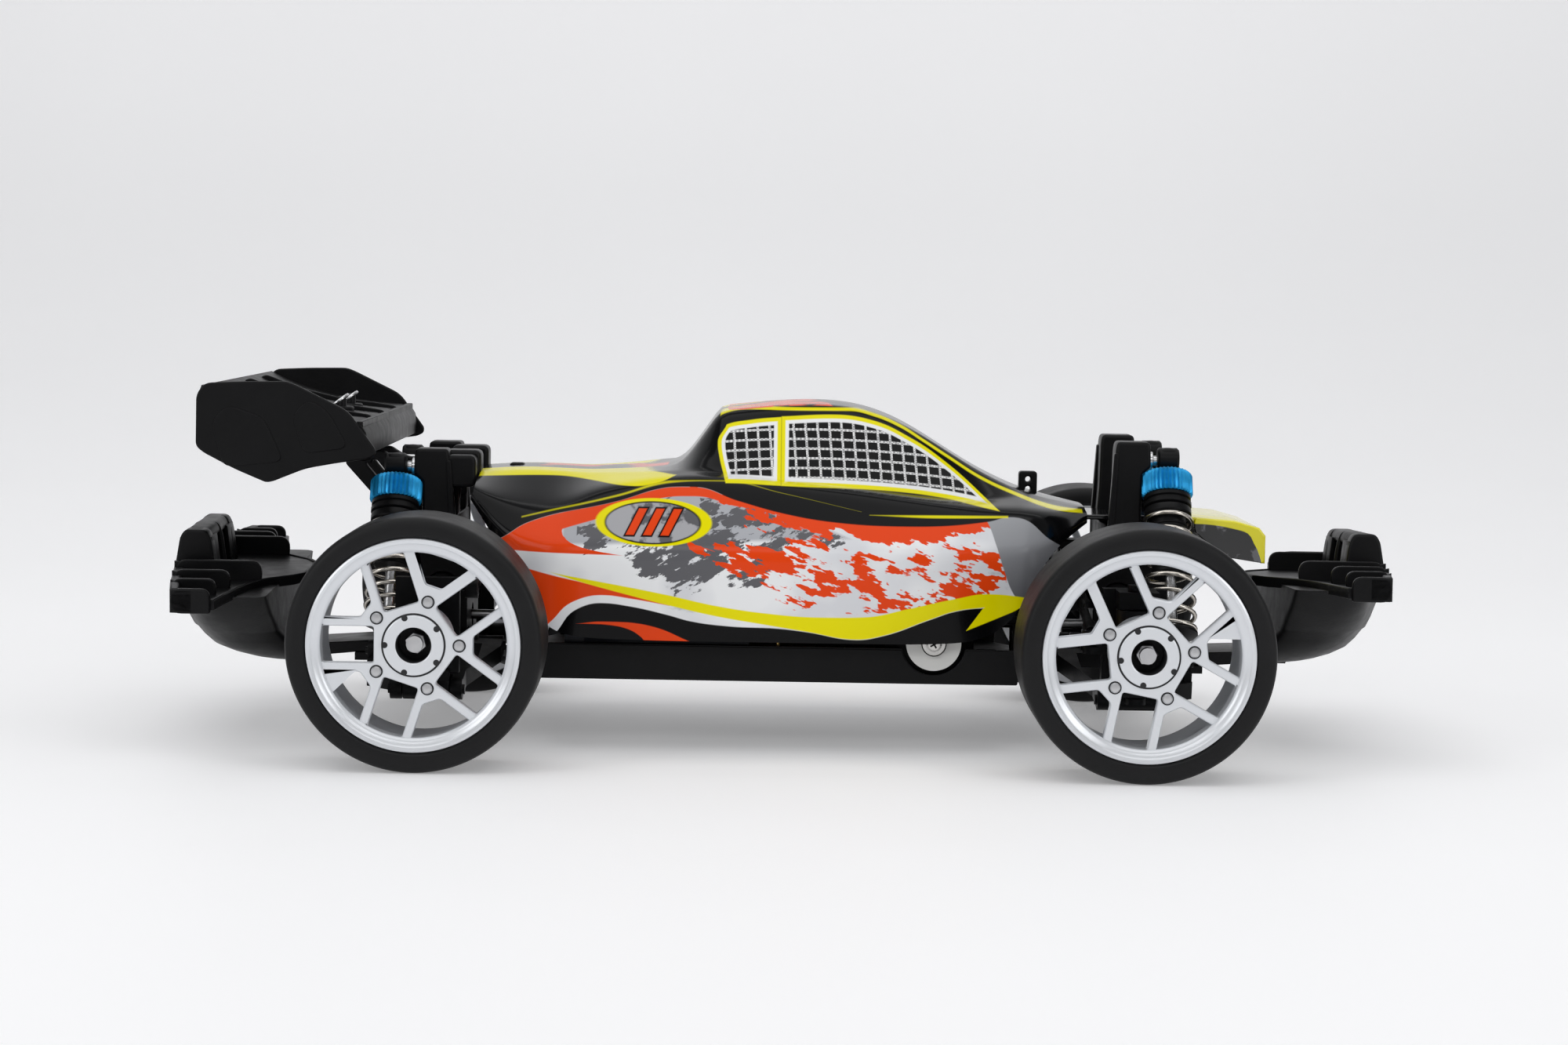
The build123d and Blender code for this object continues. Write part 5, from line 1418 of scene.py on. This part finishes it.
class CAR_OT_chassis(bpy.types.Operator):
    """Build the chassis rails, the servo disc's screw and the brass standoffs, and finish the tub"""

    bl_idname = "model_car.chassis"
    bl_label = "Chassis"

    def execute(self, context):
        colours = context.scene.car_colours
        nylon = moulded("chassis_nylon", colours.nylon, 0.46, 0.0005, 0.00003)
        arc = [
            (39.0 + 8.2 * math.cos(math.radians(a)), 28.5 + 8.2 * math.sin(math.radians(a)))
            for a in range(-12, -169, -6)
        ]
        rail = [(-60.8, 18.0), (60.6, 18.0), (61.0, 26.8), *arc, (-60.8, 27.0)]
        rails = [side_plate(rounded(rail, 0.5, 2), s * 39.9, s * 42.1, 0.3) for s in (-1, 1)]
        made = piece("chassis_rails", joined("chassis_rails", rails), nylon, 35)
        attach(made, "chassis")
        dress(["chassis_tub"], nylon, 0.0003)
        steel = bright_steel("screw_steel", (0.58, 0.57, 0.55), 0.24)
        x, z, y = 39.0, 28.5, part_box("servo_horn")[0][1] / MM
        head = [
            (0.0, -0.9), (0.5, -1.0), (1.5, -0.85), (2.0, -0.4), (2.0, 0.2), (2.9, 0.2), (2.95, 0.0),
            (2.95, 0.6), (0.0, 0.6)
        ]
        screw = lathe([(radius, y + out) for radius, out in head], (x, z), 40)
        # Dark plates that fill the head's cross slot: painted shade in the slot.
        slot_shades = []
        for turn in (30, 120):
            c, s = math.cos(math.radians(turn)), math.sin(math.radians(turn))
            line = [(-1.1, -0.22), (1.1, -0.22), (1.1, 0.22), (-1.1, 0.22)]
            slot_shades.append(
                side_plate([(x + a * c - b * s, z + a * s + b * c) for a, b in line], y - 1.08, y - 0.7, 0.05)
            )
        made = piece("servo_screw", screw, steel, 30)
        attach(made, "servo_horn_body")
        # Dark ring round the rim of the head: painted shade under its edge.
        edge = [(2.95, -0.1), (3.2, -0.1), (3.2, 0.5), (2.95, 0.5)]
        slot_shades.append(lathe([(radius, y + out) for radius, out in edge], (x, z), 40))
        # Dark finish of these pieces of painted shade.
        dark = moulded("screw_slot_shade", (0.01, 0.01, 0.01), 0.5)
        made = piece("servo_screw_slot", joined("servo_screw_slot", slot_shades), dark, 30)
        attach(made, "servo_horn_body")
        brass = bright_steel("standoff_brass", (0.62, 0.42, 0.15), 0.28)
        posts = []
        for y in (-38.5, 38.5):
            posts.append(spindle([(0.5, 0), (0.5, 10)], (-0.5, y, 19.9), (-0.5, y, 29.9), 6))
        made = piece("standoffs", joined("standoffs", posts), brass, 30)
        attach(made, "chassis")
        return {"FINISHED"}


class CAR_OT_running_gear(bpy.types.Operator):
    """Give the arms, links, gearboxes, shafts and inner parts their finishes"""

    bl_idname = "model_car.running_gear"
    bl_label = "Running gear"

    def execute(self, context):
        colours = context.scene.car_colours
        nylon = moulded("arm_nylon", colours.nylon, 0.42, 0.0005, 0.00004)
        shafts = bright_steel("drive_steel", (0.42, 0.42, 0.43), 0.32)
        motor = bright_steel("motor_can", (0.45, 0.45, 0.46), 0.35)
        white = moulded("servo_white", (0.74, 0.74, 0.72), 0.4, 0.0006, 0.00002, spread=0.06)
        # Battery wrap: the pack's own dark blue, made near black to paint the shade that falls on it under
        # the shell.
        wrap = moulded("battery_wrap_shaded", (0.012, 0.014, 0.02), 0.3, 0.003, 0.00003)
        board = moulded("speed_controller", (0.02, 0.02, 0.022), 0.45)
        brass = bright_steel("pinion_brass", (0.60, 0.42, 0.18), 0.3)
        dress(["front_gearbox", "rear_gearbox", "servo_case"], nylon, 0.0004)
        dress(["centre_link", "drag_link", "bellcrank"], nylon, 0.0002)
        for corner in CORNERS:
            dress([f"lower_arm_{corner}", f"upper_link_{corner}"], nylon, 0.0004)
            if corner.startswith("front"):
                dress(
                    [f"caster_block_{corner}", f"steering_knuckle_{corner}", f"tie_rod_{corner}"], nylon,
                    0.0003
                )
            else:
                dress([f"rear_hub_{corner}"], nylon, 0.0003)
            dress([f"drive_shaft_{corner}"], shafts)
        dress(["centre_drive"], shafts)
        dress(["motor"], motor)
        dress(["servo_horn"], white, 0.0003)
        dress(["battery_pack"], wrap, 0.0003)
        dress(["electronics"], board, 0.0004)
        dress(["motor_pinion"], brass)
        return {"FINISHED"}


# Stage -------------------------------------------------------------------------------------
class CAR_OT_stage(bpy.types.Operator):
    """Set up the pale floor, the soft lights and the camera"""

    bl_idname = "model_car.stage"
    bl_label = "Floor, lights and camera"

    def execute(self, context):
        scene = context.scene
        self.floor()
        lights = (
            ("overhead", (0.0, -0.15, 0.95), (0.0, 0.0, 0.04), 1.3, 0.9, 4.4),
            ("left_window", (-0.95, -0.75, 0.55), (-0.05, 0.0, 0.05), 0.6, 0.6, 3.0),
            ("right_window", (0.95, -0.8, 0.5), (0.05, 0.0, 0.05), 0.6, 0.5, 2.8),
            ("front_card", (0.0, -1.2, 0.75), (0.0, 0.0, 0.05), 1.0, 0.3, 2.2),
            ("wall_wash", (0.0, 0.75, 1.3), (0.0, 1.75, 0.35), 2.2, 0.5, 5.2),
        )
        for name, place, target, width, height, power in lights:
            data = bpy.data.lights.new(name, "AREA")
            data.shape = "RECTANGLE"
            data.size, data.size_y = width, height
            data.energy = power
            lamp = new_object(name, data)
            lamp.location = place
            lamp.rotation_euler = (Vector(target) - Vector(place)).to_track_quat("-Z", "Y").to_euler()
        world = bpy.data.worlds.new("studio")
        world.use_nodes = True
        back = world.node_tree.nodes["Background"]
        back.inputs["Color"].default_value = (0.90, 0.91, 0.93, 1)
        back.inputs["Strength"].default_value = 0.24
        scene.world = world
        scene.view_settings.view_transform = "Standard"
        data = bpy.data.cameras.new("camera")
        data.lens = 73.2
        data.sensor_width = 36.0
        data.clip_start, data.clip_end = 0.05, 20.0
        camera = new_object("camera", data)
        camera.location = (-0.0066, -0.848, 0.1214)
        camera.rotation_mode = "XYZ"
        camera.rotation_euler = (math.radians(90 - 4.45), math.radians(-1.0), math.radians(-0.42))
        scene.camera = camera
        return {"FINISHED"}

    def floor(self):
        """A pale sheet that curves up behind the car."""
        rows = [
            (-3.0, 0.0), (-1.0, 0.0), (0.4, 0.0), (0.6, 0.0), (0.8, 0.0), (0.95, 0.0), (1.2, 0.01),
            (1.45, 0.06), (1.62, 0.17), (1.7, 0.35), (1.72, 0.8), (1.72, 2.6)
        ]
        points = [(x, y, z) for y, z in rows for x in (-4.0, 4.0)]
        faces = [(2 * k, 2 * k + 1, 2 * k + 3, 2 * k + 2) for k in range(len(rows) - 1)]
        paint = Paint("backdrop_paper", 0.55)
        paint.colour(paint.mix(paint.noise(0.3, 2), (0.80, 0.80, 0.81, 1), (0.84, 0.84, 0.85, 1)))
        paint.rough(paint.between(paint.noise(0.05, 3), 0.5, 0.62))
        paint.shader.inputs["Emission Color"].default_value = (0.90, 0.90, 0.91, 1)
        paint.shader.inputs["Emission Strength"].default_value = 0.25
        sheet = piece("backdrop", new_mesh("backdrop", points, faces), paint.material, 60)
        soft = sheet.modifiers.new("soft", "SUBSURF")
        soft.levels = soft.render_levels = 2


# Panel and registration --------------------------------------------------------------------
class CAR_PT_panel(bpy.types.Panel):
    """Lists the car's pieces in the sidebar"""

    bl_idname = "CAR_PT_panel"
    bl_label = "Off-road model car"
    bl_space_type = "VIEW_3D"
    bl_region_type = "UI"
    bl_category = "Model car"

    def draw(self, context):
        layout = self.layout
        for group in (context.scene.car_sizes, context.scene.car_colours):
            box = layout.box()
            for name in group.__annotations__:
                box.prop(group, name)
        for operator in OPERATORS:
            layout.operator(operator.bl_idname)


OPERATORS = (
    CAR_OT_stage,
    CAR_OT_shell,
    CAR_OT_wheels,
    CAR_OT_shocks,
    CAR_OT_wing,
    CAR_OT_bumpers,
    CAR_OT_towers,
    CAR_OT_chassis,
    CAR_OT_running_gear,
)
CLASSES = (CarSizes, CarColours, *OPERATORS, CAR_PT_panel)


def register():
    for cls in CLASSES:
        bpy.utils.register_class(cls)
    bpy.types.Scene.car_sizes = PointerProperty(type=CarSizes)
    bpy.types.Scene.car_colours = PointerProperty(type=CarColours)


def unregister():
    del bpy.types.Scene.car_colours
    del bpy.types.Scene.car_sizes
    for cls in reversed(CLASSES):
        bpy.utils.unregister_class(cls)


def main():
    register()
    for operator in OPERATORS:
        name = operator.bl_idname.split(".")[1]
        getattr(bpy.ops.model_car, name)()


if __name__ == "__main__":
    main()
